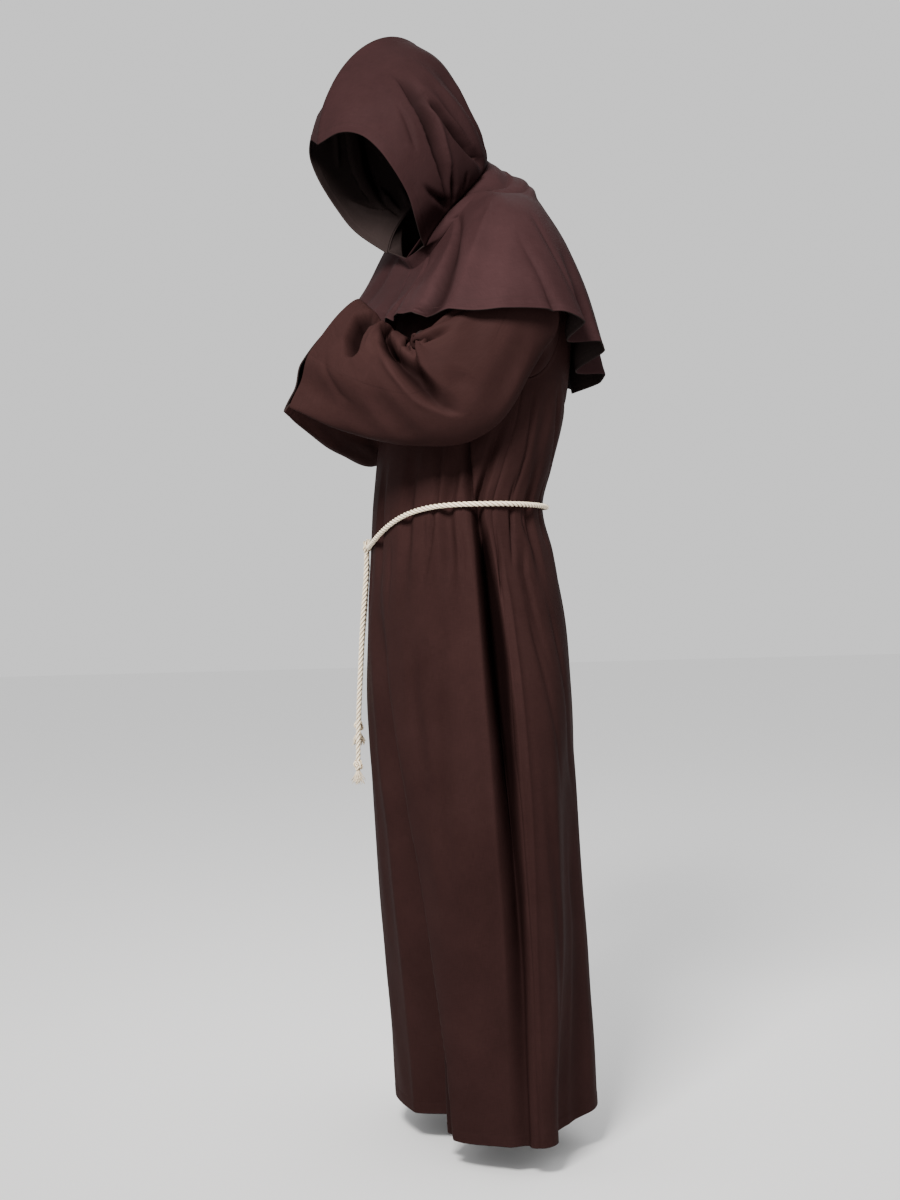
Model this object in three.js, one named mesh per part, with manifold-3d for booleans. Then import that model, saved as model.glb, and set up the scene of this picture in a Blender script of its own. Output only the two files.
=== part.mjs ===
// A friar's hooded habit, as it hangs on a standing wearer with bowed head and joined hands.
// Ankle-length robe (front and back), two wide sleeves, a shoulder cape in two halves, a hood in
// two halves, and a rope girdle with a knot and two frayed ends.
// Millimetres. +X is the wearer's left, -Y the front, +Z up. The origin is on the shoulder line,
// in the middle of the neck opening, where the wearer carries the garment.
import * as THREE from "three";
import Module from "manifold-3d";
import { mergeVertices } from "three/addons/utils/BufferGeometryUtils.js";

// Driving sizes. Heights in every table are above the floor that the wearer stands on.
const SHOULDER_HEIGHT = 1480;
const HEM_HEIGHT = 45;
const HEM_TILT = 10;
const HEM_TILT_AT = 215;
const HEM_TILT_TOP = 600;
const CLOTH_THICKNESS = 2;
const SEAM_GAP = 0.4;
const NECK_CENTRE_Y = -81;
const HEAD_TURN = 12;

const CLOTH_COLOR = 0x3b2729;
const ROPE_COLOR = 0xe6d8bd;

// A table: rows of numbers under named columns.
const table = (names, rows) =>
  rows.map((row) => Object.fromEntries(names.map((name, i) => [name, row[i]])));

// Rings of the robe, from the hem up the side seam and on along the shoulder seam.
// level: distance up that line; side, front, back: height there; half: half width;
// belly, spine: y of the front and the back; turn: degrees that the side seams lie forward.
const ROBE_RINGS = table(
  ["level", "side", "front", "back", "half", "belly", "spine", "turn"],
  [
    [45, 54, 50, 66, 270, -136, 145, -10],
    [170, 172, 170, 176, 269, -146, 139, -9],
    [322, 322, 322, 322, 265, -161, 128, -6],
    [473, 473, 473, 473, 257, -176, 117, -4],
    [606, 606, 606, 606, 247, -190, 112, -3],
    [720, 720, 720, 720, 234, -196, 108, -3],
    [834, 834, 834, 834, 214, -195, 96, -3],
    [930, 930, 930, 930, 197, -191, 79, -3],
    [1000, 1000, 1000, 1000, 189, -188, 63, -3],
    [1060, 1060, 1060, 1060, 200, -181, 76, -2],
    [1130, 1130, 1130, 1130, 213, -172, 91, 0],
    [1190, 1190, 1188, 1190, 219, -164, 99, 0],
    [1270, 1270, 1250, 1275, 222, -151, 102, 0],
    [1360, 1360, 1312, 1350, 217, -134, 88, 0],
    [1425, 1424, 1362, 1412, 196, -116, 70, 0],
    [1490, 1458, 1402, 1454, 144, -100, 44, 0],
    [1555, 1485, 1430, 1488, 92, -88, 14, 0],
  ],
);

// Folds. at: degrees round the piece (0 left side, -90 front, 90 back); up: level; width: half
// width in mm; depth: mm, inward positive. A fold is a list of bends.
const fold = (...rows) => table(["at", "up", "width", "depth"], rows);
const ROBE_FOLDS = [
  // Long valleys in front of the left and the right side seam, from under the arm to the hem.
  fold(
    [-10, 1150, 24, 0],
    [-10, 1080, 22, 10],
    [-10, 1005, 20, 16],
    [-8, 900, 28, 32],
    [-7, 700, 36, 38],
    [-7, 420, 36, 28],
    [-8, 200, 34, 14],
    [-9, 45, 34, 8],
  ),
  fold(
    [-171, 1150, 24, 0],
    [-170, 1005, 20, 14],
    [-172, 860, 30, 28],
    [-173, 560, 38, 32],
    [-172, 250, 36, 20],
    [-171, 45, 34, 12],
  ),
  // Valley between the two knees, deepening to the hem.
  fold(
    [-93, 900, 40, 0],
    [-86, 760, 46, 10],
    [-79, 560, 54, 24],
    [-74, 320, 62, 44],
    [-72, 140, 68, 60],
    [-72, 45, 70, 62],
  ),
  // Rolls over the left and the right leg.
  fold([-44, 700, 90, 0], [-42, 400, 95, -8], [-44, 45, 100, -15]),
  fold([-118, 640, 90, 0], [-114, 330, 90, -6], [-112, 45, 95, -10]),
  // Tucks that cross the girdle.
  fold([-34, 1130, 26, 0], [-31, 1030, 28, 12], [-31, 950, 28, 12], [-33, 820, 32, 0]),
  fold([-62, 1110, 26, 0], [-60, 1000, 26, 9], [-64, 800, 32, 0]),
  fold([-88, 1100, 26, 0], [-90, 960, 26, 9], [-90, 820, 32, 0]),
  fold([-142, 1140, 28, 0], [-143, 1000, 28, 13], [-146, 830, 34, 0]),
  fold([31, 1100, 24, 0], [30, 990, 22, 10], [31, 860, 28, 0]),
  fold([66, 1110, 28, 0], [64, 990, 26, 10], [62, 780, 36, 4], [60, 500, 42, 0]),
  fold([106, 1120, 28, 0], [104, 990, 26, 11], [108, 700, 40, 5], [112, 400, 48, 0]),
  fold([148, 1080, 26, 0], [148, 985, 24, 12], [146, 780, 36, 0]),
  // The left back quarter hangs flat; the rest of the back waves.
  fold([44, 800, 80, 0], [42, 400, 105, 22], [36, 45, 140, 54]),
  fold([92, 700, 60, 0], [94, 380, 64, 8], [94, 45, 70, 14]),
  fold([138, 800, 50, 0], [136, 420, 62, 16], [134, 45, 70, 28]),
];
const ROBE_MM_PER_DEGREE = 4.1;

// Armholes: ellipses round the shoulder end of the side seam.
const ARMHOLE_MIDDLE = 1309;
const ARMHOLE_HALF_HEIGHT = 116;
const ARMHOLE_HALF_DEGREES = 29;
const ARMHOLE_ROWS = 6;

// Sections of a sleeve after the armhole. along: share of its length; x, y, height: centre;
// crook: half axis to the inside of the elbow; outer: half axis away from the body.
const SLEEVE_COLUMNS = [
  "along", "x", "y", "height", "crookX", "crookY", "crookZ", "outerX", "outerY", "outerZ", "pinch",
];
const LEFT_SLEEVE = table(SLEEVE_COLUMNS, [
  [0.14, 250, -62, 1286, -14, -70, 18, 26, 5, 58, 0],
  [0.32, 247, -104, 1234, -5, -72, 36, 40, 8, 26, 0],
  [0.48, 239, -141, 1190, -4, -66, 60, 45, 2, 8, 0],
  [0.6, 226, -167, 1171, 0, -34, 76, 47, -14, 2, 0],
  [0.73, 188, -202, 1172, 9, -2, 78, 44, -30, 0, 0.1],
  [0.87, 124, -249, 1196, 8, 32, 81, 33, -38, 2, 0.35],
  [1, 59, -293, 1234, -2, 55, 83, 23, -30, 0, 0.6],
]);
const RIGHT_SLEEVE = table(SLEEVE_COLUMNS, [
  [0.14, -250, -58, 1284, 14, -70, 18, -26, 5, 58, 0],
  [0.32, -247, -98, 1228, 5, -72, 38, -40, 8, 26, 0],
  [0.48, -239, -134, 1180, 4, -62, 66, -45, 2, 8, 0],
  [0.6, -224, -160, 1155, 0, -30, 88, -46, -14, 2, 0],
  [0.73, -186, -192, 1164, -7, 0, 86, -42, -30, 0, 0.1],
  [0.87, -122, -237, 1193, -8, 31, 80, -32, -34, 2, 0.35],
  [1, -58, -271, 1227, 2, 56, 79, -25, -21, 0, 0.65],
]);
// at: degrees round the sleeve (0 outer side, 90 crook, 180 body side, 270 elbow).
const SLEEVE_FOLDS = [
  // Crease that runs from the crook across the outer side to the elbow.
  fold([100, 0.66, 30, 10], [60, 0.66, 32, 20], [15, 0.645, 32, 16], [-36, 0.6, 32, 0]),
  // Short folds that fan out of the crook.
  fold([130, 0.53, 34, 0], [92, 0.52, 36, 8], [48, 0.47, 36, 0]),
  // Hollow above the wrist, behind the cuff.
  fold([84, 0.82, 26, 6], [52, 0.84, 30, 13], [8, 0.84, 30, 0]),
  // Long fold on the body side.
  fold([190, 0.3, 30, 0], [200, 0.6, 30, 10], [205, 0.9, 28, 6], [205, 1, 28, 4]),
];
const SLEEVE_MM_PER_DEGREE = 1.25;
const SLEEVE_LENGTH = 560;

// Rings of the shoulder cape after the neck seam (0), down to the hem (1), in the columns of the
// robe's rings; corner: how far the raised arms push out its front quarters; turn: degrees that
// the ring is turned to the wearer's left with the head.
const CAPE_RINGS = table(
  ["level", "side", "front", "back", "half", "belly", "spine", "corner", "turn"],
  [
    [0.12, 1479, 1368, 1530, 112, -142, 8, 0, 10],
    [0.28, 1470, 1336, 1498, 164, -158, 36, 0.02, 6],
    [0.45, 1444, 1316, 1450, 216, -172, 61, 0.06, 2],
    [0.62, 1398, 1305, 1382, 258, -184, 93, 0.12, 0],
    [0.8, 1345, 1295, 1298, 288, -194, 123, 0.17, 0],
    [1, 1291, 1288, 1185, 305, -200, 151, 0.2, 0],
  ],
);
const CAPE_FOLDS = [
  // Flutes of the hem behind the left shoulder and across the back.
  fold([31, 0.6, 30, 0], [31, 0.78, 36, 8], [31, 1, 36, 42]),
  fold([56, 0.58, 34, 0], [55, 0.76, 42, 9], [55, 1, 42, 50]),
  fold([84, 0.62, 40, 0], [84, 0.8, 44, 8], [84, 1, 48, 32]),
  fold([118, 0.6, 40, 0], [118, 0.78, 44, 9], [118, 1, 46, 42]),
  fold([150, 0.62, 34, 0], [149, 0.8, 36, 8], [149, 1, 40, 38]),
  // Ridge over the nape, where the neck seam stands up.
  fold([25, 0.3, 24, 0], [50, 0.27, 28, -7], [90, 0.25, 30, -10], [130, 0.27, 28, -7], [155, 0.3, 24, 0]),
  // Break over the front of each shoulder, and the dip of the centre front.
  fold([-4, 0.4, 40, 0], [-24, 0.7, 44, 7], [-32, 1, 44, 5]),
  fold([-176, 0.4, 40, 0], [-156, 0.7, 44, 7], [-148, 1, 44, 5]),
  fold([-92, 0.2, 40, 0], [-90, 1, 60, 24]),
];
const CAPE_MM_PER_DEGREE = 4.3;
const CAPE_LENGTH = 300;

// Rows of a hood half from the neck seam (0) to the top seam (1). Each row is a cubic curve from
// the face edge round the head to the centre seam. Out: from the centre seam; Ahead: forwards of
// the neck's centre; Up: height. The row's middle two points, cheek and nape, set its fullness.
const HOOD_ROWS = table(
  [
    "level", "faceOut", "faceAhead", "faceUp", "cheekOut", "cheekAhead", "cheekUp",
    "napeOut", "napeAhead", "napeUp", "seamAhead", "seamUp", "lead",
  ],
  [
    [0, 60, 72, 1396, 88, 48, 1470, 92, -58, 1524, -58, 1548, 0],
    [0.13, 98, 108, 1431, 122, 60, 1482, 95, -60, 1545, -55, 1558, 0],
    [0.26, 114, 131, 1467, 140, 82, 1504, 104, -56, 1558, -50, 1570, 2],
    [0.4, 117, 159, 1505, 146, 98, 1532, 113, -47, 1582, -40, 1588, 2],
    [0.55, 107, 181, 1536, 143, 111, 1574, 118, -27, 1611, -24, 1611, 0],
    [0.7, 83, 197, 1556, 126, 138, 1622, 114, 7, 1656, -6, 1648, 0],
    [0.86, 46, 212, 1561, 86, 184, 1661, 84, 46, 1710, 20, 1685, 0],
    [1, 0, 224, 1548, 0, 224, 1658, 0, 124, 1750, 57, 1714, 0],
  ],
);
// at: share of the way from the face edge (0) to the centre seam (1).
const HOOD_FOLDS = [
  fold([0.5, 0.82, 20, 0], [0.55, 0.5, 22, 9], [0.6, 0.2, 20, 12], [0.62, 0.03, 14, 0]),
  fold([0.68, 0.9, 24, 0], [0.72, 0.55, 26, 12], [0.76, 0.25, 22, 14], [0.74, 0.04, 14, 0]),
];
const HOOD_WIDTH = 330;
const HOOD_HEIGHT = 400;

// Girdle: a rope that dips to its knot at the wearer's right front.
const ROPE_RADIUS = 4;
const ROPE_SIDES = 8;
const ROPE_STAND_OFF = 5.1;
const GIRDLE_HEIGHT = 1008;
const GIRDLE_DIP = 73;
const GIRDLE_DIP_AT = -115;
const GIRDLE_DIP_DEGREES = 48.5;
const GIRDLE_BACK_DROP = 10;
const KNOT_AT = -121;
const KNOT_HALF_DEGREES = 5.6;
const KNOT_RADIUS = 9;
const KNOT_STAND_OFF = 8.5;
const STUB_RADIUS = 4.6;
const JOINT_GAP = 0.3;

const radians = (degrees) => (degrees * Math.PI) / 180;
const mix = (a, b, t) => a + (b - a) * t;
const smooth = (t) => t * t * (3 - 2 * t);
const clamp = (t, low, high) => Math.min(high, Math.max(low, t));

// Smooth curve through one column of a table whose rows are in order of `key`.
function column(rows, key, name, at) {
  const last = rows.length - 1;
  let i = rows.findIndex((row) => row[key] > at) - 1;
  if (i < 0) i = at <= rows[0][key] ? 0 : last - 1;
  const slope = (k) => {
    const a = rows[Math.max(k - 1, 0)];
    const b = rows[Math.min(k + 1, last)];
    return (b[name] - a[name]) / (b[key] - a[key]);
  };
  const step = rows[i + 1][key] - rows[i][key];
  const t = clamp((at - rows[i][key]) / step, 0, 1);
  const [t2, t3] = [t * t, t * t * t];
  return (
    (2 * t3 - 3 * t2 + 1) * rows[i][name] +
    (t3 - 2 * t2 + t) * step * slope(i) +
    (3 * t2 - 2 * t3) * rows[i + 1][name] +
    (t3 - t2) * step * slope(i + 1)
  );
}

// Depth of all the folds at one place of a surface, inward positive.
function foldDepth(folds, at, up, mmAcross, mmAlong, goesRound) {
  let total = 0;
  for (const bends of folds) {
    let deepest = 0;
    for (let i = 0; i + 1 < bends.length; i++) {
      const [a, b] = [bends[i], bends[i + 1]];
      const apart = at - a.at;
      const px = (goesRound ? apart - 360 * Math.round(apart / 360) : apart) * mmAcross;
      const py = (up - a.up) * mmAlong;
      const sx = (b.at - a.at) * mmAcross;
      const sy = (b.up - a.up) * mmAlong;
      const t = clamp((px * sx + py * sy) / (sx * sx + sy * sy), 0, 1);
      const away = Math.hypot(px - t * sx, py - t * sy) / mix(a.width, b.width, t);
      if (away >= 1) continue;
      const depth = mix(a.depth, b.depth, smooth(t)) * (1 - away * away) ** 2;
      if (Math.abs(depth) > Math.abs(deepest)) deepest = depth;
    }
    total += deepest;
  }
  return total;
}

// Outward normal of a surface; steps: small steps round and up whose cross product faces out.
function normalOf(surface, at, up, [stepAt, stepUp]) {
  const across = surface(at + stepAt, up).sub(surface(at - stepAt, up));
  const along = surface(at, up + stepUp).sub(surface(at, up - stepUp));
  return across.cross(along).normalize();
}
const ROBE_STEPS = [0.5, 2];
const CAPE_STEPS = [0.5, -0.004];
const SLEEVE_STEPS = [1, 0.004];
const hoodSteps = (side) => [side * 0.01, 0.01];

// A surface pushed in by its folds along its own normal.
function folded(surface, depthAt, steps) {
  return (at, up) => {
    const point = surface(at, up);
    const depth = depthAt(at, up);
    return depth === 0 ? point : point.addScaledVector(normalOf(surface, at, up, steps), -depth);
  };
}

// The robe without its folds: an oval ring whose hem is tilted a little.
function robeBase(at, level) {
  const value = (name) => column(ROBE_RINGS, "level", name, level);
  const angle = radians(at) + radians(value("turn")) * Math.cos(radians(at));
  const [c, s] = [Math.cos(angle), Math.sin(angle)];
  const middle = (value("belly") + value("spine")) / 2;
  const deep = (value("spine") - value("belly")) / 2;
  const tilt = HEM_TILT * Math.cos(radians(at + HEM_TILT_AT)) * clamp(1 - level / HEM_TILT_TOP, 0, 1);
  const height = value("side") * c * c + value(s < 0 ? "front" : "back") * s * s + tilt;
  return new THREE.Vector3(value("half") * c, middle + deep * s, height - SHOULDER_HEIGHT);
}
const robeSurface = folded(
  robeBase,
  (at, level) => foldDepth(ROBE_FOLDS, at, level, ROBE_MM_PER_DEGREE, 1, true),
  ROBE_STEPS,
);

// A point given from the centre seam of the turned head.
function headPoint(out, ahead, height) {
  const [c, s] = [Math.cos(radians(HEAD_TURN)), Math.sin(radians(HEAD_TURN))];
  return new THREE.Vector3(
    out * c + ahead * s,
    NECK_CENTRE_Y + out * s - ahead * c,
    height - SHOULDER_HEIGHT,
  );
}

// A hood half without its folds; at: 0 face edge to 1 centre seam.
function hoodBase(side) {
  return (at, level) => {
    const value = (name) => column(HOOD_ROWS, "level", name, level);
    const lead = side < 0 ? value("lead") : 0;
    const row = new THREE.CubicBezierCurve3(
      new THREE.Vector3(value("faceOut"), value("faceAhead") + lead, value("faceUp")),
      new THREE.Vector3(value("cheekOut"), value("cheekAhead"), value("cheekUp")),
      new THREE.Vector3(value("napeOut"), value("napeAhead"), value("napeUp")),
      new THREE.Vector3(0, value("seamAhead"), value("seamUp")),
    );
    const p = row.getPoint(clamp(at, 0, 1));
    return headPoint(side * (p.x + SEAM_GAP / 2), p.y, p.z);
  };
}
const hoodSurface = (side) =>
  folded(
    hoodBase(side),
    (at, level) => foldDepth(HOOD_FOLDS, at, level, HOOD_WIDTH, HOOD_HEIGHT, false),
    hoodSteps(side),
  );

// The neck seam of the cape: the hood's own lower edge, closed across the throat.
const THROAT_AT = -50;
const THROAT_AHEAD = 72;
const THROAT_HEIGHT = 1384;
function neckPoint(at) {
  const side = Math.cos(radians(at)) >= 0 ? 1 : -1;
  const turned = side > 0 ? at : 180 - at;
  const own = turned - 360 * Math.round(turned / 360);
  const corner = hoodBase(side)(0, 0);
  corner.z -= SEAM_GAP;
  if (own < THROAT_AT) {
    const t = (THROAT_AT - own) / (90 + THROAT_AT);
    return corner.lerp(headPoint(0, THROAT_AHEAD, THROAT_HEIGHT), t);
  }
  const share = 0.46 + 0.008057 * own - 0.00002286 * own * own;
  const point = hoodBase(side)(clamp(share, 0, 1), 0);
  point.z -= SEAM_GAP;
  return point;
}

// The cape without its folds: it leaves the neck seam and runs into the table's rings, which
// turn with the head near the neck and stand out over the raised arms near the hem.
function capeBase(at, level) {
  const first = CAPE_RINGS[0].level;
  const value = (name) => column(CAPE_RINGS, "level", name, Math.max(level, first));
  const [c, s] = [Math.cos(radians(at)), Math.sin(radians(at))];
  const corner = s < 0 ? 1 + value("corner") * Math.sin(2 * radians(at)) ** 2 : 1;
  const middle = (value("belly") + value("spine")) / 2;
  const deep = (value("spine") - value("belly")) / 2;
  const height = value("side") * c * c + value(s < 0 ? "front" : "back") * s * s;
  const turn = radians(value("turn"));
  const [x, y] = [value("half") * c * corner, deep * s * corner];
  const ring = new THREE.Vector3(
    x * Math.cos(turn) - y * Math.sin(turn),
    middle + x * Math.sin(turn) + y * Math.cos(turn),
    height - SHOULDER_HEIGHT,
  );
  return level >= first ? ring : neckPoint(at).lerp(ring, level / first);
}
const capeSurface = folded(
  capeBase,
  (at, level) => foldDepth(CAPE_FOLDS, at, level, CAPE_MM_PER_DEGREE, CAPE_LENGTH, true),
  CAPE_STEPS,
);

// How far round the robe the edge of the armhole reaches at a level, in degrees.
function armholeReach(level) {
  const t = (level - ARMHOLE_MIDDLE) / ARMHOLE_HALF_HEIGHT;
  return Math.abs(t) < 1 ? ARMHOLE_HALF_DEGREES * Math.sqrt(1 - t * t) : 0;
}

// A point of the armhole's outline, a polygon with its corners on the robe; at: as on the sleeve.
function armholePoint(at, side) {
  const shrink = 1 - SEAM_GAP / ARMHOLE_HALF_HEIGHT;
  const corner = (k) => {
    const angle = (Math.PI * k) / ARMHOLE_ROWS;
    const round = -ARMHOLE_HALF_DEGREES * shrink * Math.sin(angle);
    return robeSurface(
      side > 0 ? round : 180 - round,
      ARMHOLE_MIDDLE + ARMHOLE_HALF_HEIGHT * shrink * Math.cos(angle),
    );
  };
  const place = (at / 180) * ARMHOLE_ROWS;
  const before = Math.floor(place + 1e-9);
  return corner(before).lerp(corner(before + 1), place - before);
}

// A sleeve: from the armhole it runs into the table's sections, pinched at the elbow side.
const SLEEVE_SET_OUT = 60;
function sleeveSurface(rows, side) {
  const first = rows[0].along;
  const base = (turn, along) => {
    const at = side * turn;
    const [c, s] = [Math.cos(radians(at)), Math.sin(radians(at))];
    const value = (name) => column(rows, "along", name, Math.max(along, first));
    const wide = c * (1 - value("pinch") * smooth(clamp(-1.6 * s, 0, 1)));
    const free = new THREE.Vector3(
      value("x") + value("crookX") * s + value("outerX") * wide,
      value("y") + value("crookY") * s + value("outerY") * wide,
      value("height") + value("crookZ") * s + value("outerZ") * wide - SHOULDER_HEIGHT,
    );
    if (along >= first) return free;
    const t = along / first;
    const hole = armholePoint(at, side);
    hole.x += side * SLEEVE_SET_OUT * t * (1 - t);
    return hole.lerp(free, smooth(t));
  };
  return folded(
    base,
    (turn, along) =>
      foldDepth(SLEEVE_FOLDS, side * turn, along, SLEEVE_MM_PER_DEGREE, SLEEVE_LENGTH, true),
    SLEEVE_STEPS,
  );
}

// n + 1 shares from 0 to 1; runs joins stretches [from, to, n] of such shares.
const evenly = (n) => Array.from({ length: n + 1 }, (_, i) => i / n);
const runs = (...stretches) => [
  stretches[0][0],
  ...stretches.flatMap(([from, to, n]) => evenly(n).slice(1).map((t) => mix(from, to, t))),
];

// Rows of points on a surface, from the first up to the last, and the same rows one thickness
// behind it. shares: 0 to 1 between the edges at each up; keep: holds inner points in bounds.
function patch(surface, steps, ups, shares, edges, keep = (point) => point) {
  const outer = [];
  const inner = [];
  for (const up of ups) {
    const [first, last] = edges(up);
    const ats = shares.map((share) => mix(first, last, share));
    outer.push(ats.map((at) => surface(at, up)));
    inner.push(
      ats.map((at) =>
        keep(surface(at, up).addScaledVector(normalOf(surface, at, up, steps), -CLOTH_THICKNESS)),
      ),
    );
  }
  return { outer, inner };
}

// A closed wall between the two faces of a patch; goesRound joins its last column to the first.
function wall(faces, goesRound) {
  const [rows, cols] = [faces.outer.length, faces.outer[0].length];
  const points = [...faces.outer.flat(), ...faces.inner.flat()];
  const outer = (i, j) => i * cols + (j % cols);
  const inner = (i, j) => rows * cols + i * cols + (j % cols);
  const index = [];
  const quad = (a, b, c, d) => index.push(a, b, c, a, c, d);
  const [top, end, lastCol] = [rows - 1, cols - 1, goesRound ? cols : cols - 1];
  for (let i = 0; i < top; i++)
    for (let j = 0; j < lastCol; j++) {
      quad(outer(i, j), outer(i, j + 1), outer(i + 1, j + 1), outer(i + 1, j));
      quad(inner(i, j), inner(i + 1, j), inner(i + 1, j + 1), inner(i, j + 1));
    }
  for (let j = 0; j < lastCol; j++) {
    quad(outer(0, j), inner(0, j), inner(0, j + 1), outer(0, j + 1));
    quad(outer(top, j), outer(top, j + 1), inner(top, j + 1), inner(top, j));
  }
  if (!goesRound)
    for (let i = 0; i < top; i++) {
      quad(outer(i, 0), outer(i + 1, 0), inner(i + 1, 0), inner(i, 0));
      quad(outer(i, end), inner(i, end), inner(i + 1, end), outer(i + 1, end));
    }
  const geometry = new THREE.BufferGeometry();
  const numbers = points.flatMap((point) => point.toArray());
  geometry.setAttribute("position", new THREE.Float32BufferAttribute(numbers, 3));
  geometry.setIndex(index);
  geometry.computeVertexNormals();
  return geometry;
}

const cloth = new THREE.MeshStandardMaterial({ color: CLOTH_COLOR, roughness: 0.75, metalness: 0 });
const cotton = new THREE.MeshStandardMaterial({ color: ROPE_COLOR, roughness: 0.9, metalness: 0 });
const habit = new THREE.Group();

function add(name, geometry, material) {
  const mesh = new THREE.Mesh(geometry, material);
  mesh.name = name;
  habit.add(mesh);
}

// Robe panels: their rows close up at the armhole, and the front's columns at the side valleys.
const armholeLevels = evenly(ARMHOLE_ROWS).map(
  (t) => ARMHOLE_MIDDLE - ARMHOLE_HALF_HEIGHT * Math.cos(Math.PI * t),
);
const robeLevels = [
  ...runs([HEM_HEIGHT, 750, 5], [750, 930, 2], [930, 1040, 3], [1040, 1145, 2]),
  ...armholeLevels,
  ...runs([1455, 1555, 2]),
];
// Half a seam's gap as a turn, in degrees, at a radius.
const seamTurn = (radius) => (SEAM_GAP / 2 / radius) * (180 / Math.PI);
function robePanel(shares, from, to) {
  const edges = (level) => {
    const value = (name) => column(ROBE_RINGS, "level", name, level);
    const reach = seamTurn((value("spine") - value("belly")) / 2) + armholeReach(level);
    return [from + reach, to - reach];
  };
  return wall(patch(robeSurface, ROBE_STEPS, robeLevels, shares, edges), false);
}
add("robe_front", robePanel(runs([0, 0.1, 5], [0.1, 0.9, 22], [0.9, 1, 5]), -180, 0), cloth);
add("robe_back", robePanel(evenly(26), 0, 180), cloth);

// Sleeves.
const SLEEVE_ROW_COUNT = 15;
const SLEEVE_COLUMN_COUNT = 24;
for (const [name, rows, side] of [
  ["sleeve_left", LEFT_SLEEVE, 1],
  ["sleeve_right", RIGHT_SLEEVE, -1],
]) {
  const shares = evenly(SLEEVE_COLUMN_COUNT).slice(0, -1);
  const ups = evenly(SLEEVE_ROW_COUNT);
  const faces = patch(sleeveSurface(rows, side), SLEEVE_STEPS, ups, shares, () => [0, 360]);
  add(name, wall(faces, true), cloth);
}

// Cape halves, with closer columns towards the back, where the hem flutes.
const capeLevels = [...runs([1, 0.12, 9]), 0.06, 0];
const capeShares = runs([0, 0.42, 8], [0.42, 1, 18]);
function capeHalf(shares, from, to) {
  const edges = (level) => {
    const half = column(CAPE_RINGS, "level", "half", Math.max(level, CAPE_RINGS[0].level));
    return [from + seamTurn(half / 2), to - seamTurn(half / 2)];
  };
  return wall(patch(capeSurface, CAPE_STEPS, capeLevels, shares, edges), false);
}
add("cape_left", capeHalf(capeShares, -90, 90), cloth);
add("cape_right", capeHalf(capeShares.map((t) => 1 - t).reverse(), -270, -90), cloth);

// Hood halves, whose insides stay on their own side of the centre seam.
const HOOD_ROW_COUNT = 12;
const HOOD_COLUMN_COUNT = 14;
function ownSide(side) {
  const across = headPoint(1, 0, 0).sub(headPoint(0, 0, 0));
  const middle = headPoint(0, 0, 0);
  return (point) => {
    const out = side * point.clone().sub(middle).dot(across);
    return out < SEAM_GAP / 2 ? point.addScaledVector(across, side * (SEAM_GAP / 2 - out)) : point;
  };
}
for (const [name, side] of [
  ["hood_left", 1],
  ["hood_right", -1],
]) {
  const [ups, shares] = [evenly(HOOD_ROW_COUNT), evenly(HOOD_COLUMN_COUNT)];
  const edges = () => (side > 0 ? [0, 1] : [1, 0]);
  const faces = patch(hoodSurface(side), hoodSteps(side), ups, shares, edges, ownSide(side));
  add(name, wall(faces, false), cloth);
}

// Rope: a round section swept along a curve.
function ropeAlong(points, steps) {
  const section = new THREE.Shape(
    Array.from({ length: ROPE_SIDES }, (_, i) => {
      const angle = (2 * Math.PI * i) / ROPE_SIDES;
      return new THREE.Vector2(ROPE_RADIUS * Math.cos(angle), ROPE_RADIUS * Math.sin(angle));
    }),
  );
  const path = new THREE.CatmullRomCurve3(points, false, "centripetal");
  return new THREE.ExtrudeGeometry(section, { steps, extrudePath: path, bevelEnabled: false });
}

// The girdle's line round the waist, standing off the robe.
function girdlePoint(at, standOff) {
  const dip = GIRDLE_DIP * Math.exp(-(((at - GIRDLE_DIP_AT) / GIRDLE_DIP_DEGREES) ** 2));
  const back = GIRDLE_BACK_DROP * Math.max(0, Math.sin(radians(at))) ** 2;
  const level = GIRDLE_HEIGHT - dip - back;
  const point = robeBase(at, level);
  return point.addScaledVector(normalOf(robeBase, at, level, ROBE_STEPS), standOff);
}
const GIRDLE_POINTS = 60;
const girdleStart = KNOT_AT + KNOT_HALF_DEGREES;
const girdleEnd = KNOT_AT + 360 - KNOT_HALF_DEGREES;
const girdle = evenly(GIRDLE_POINTS).map((t) => {
  const at = mix(girdleStart, girdleEnd, t);
  return girdlePoint(at > 180 ? at - 360 : at, ROPE_STAND_OFF);
});
add("belt_loop", ropeAlong(girdle, GIRDLE_POINTS), cotton);

// Knot, hanging ends and frayed tips.
const wasm = await Module();
wasm.setup();
const { Manifold } = wasm;

function asManifold(geometry) {
  const bare = new THREE.BufferGeometry();
  bare.setAttribute("position", geometry.getAttribute("position"));
  bare.setIndex(geometry.getIndex());
  const merged = mergeVertices(bare, 1e-4);
  return new Manifold({
    numProp: 3,
    vertProperties: new Float32Array(merged.getAttribute("position").array),
    triVerts: new Uint32Array(merged.getIndex().array),
  });
}

function fused(geometries) {
  const body = Manifold.union(geometries.map(asManifold));
  const { vertProperties, triVerts } = body.getMesh();
  const geometry = new THREE.BufferGeometry();
  geometry.setAttribute("position", new THREE.BufferAttribute(vertProperties, 3));
  geometry.setIndex(new THREE.BufferAttribute(triVerts, 1));
  geometry.computeVertexNormals();
  return geometry;
}

// A rod from one point to another, with its own radius at each.
function rod(from, to, fromRadius, toRadius, sides) {
  const geometry = new THREE.CylinderGeometry(toRadius, fromRadius, from.distanceTo(to), sides);
  const turn = new THREE.Quaternion();
  turn.setFromUnitVectors(new THREE.Vector3(0, 1, 0), to.clone().sub(from).normalize());
  geometry.applyQuaternion(turn);
  const middle = from.clone().add(to).multiplyScalar(0.5);
  return geometry.translate(middle.x, middle.y, middle.z);
}

const knot = girdlePoint(KNOT_AT, KNOT_STAND_OFF);
const down = new THREE.Vector3(0, 0, -1);

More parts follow.
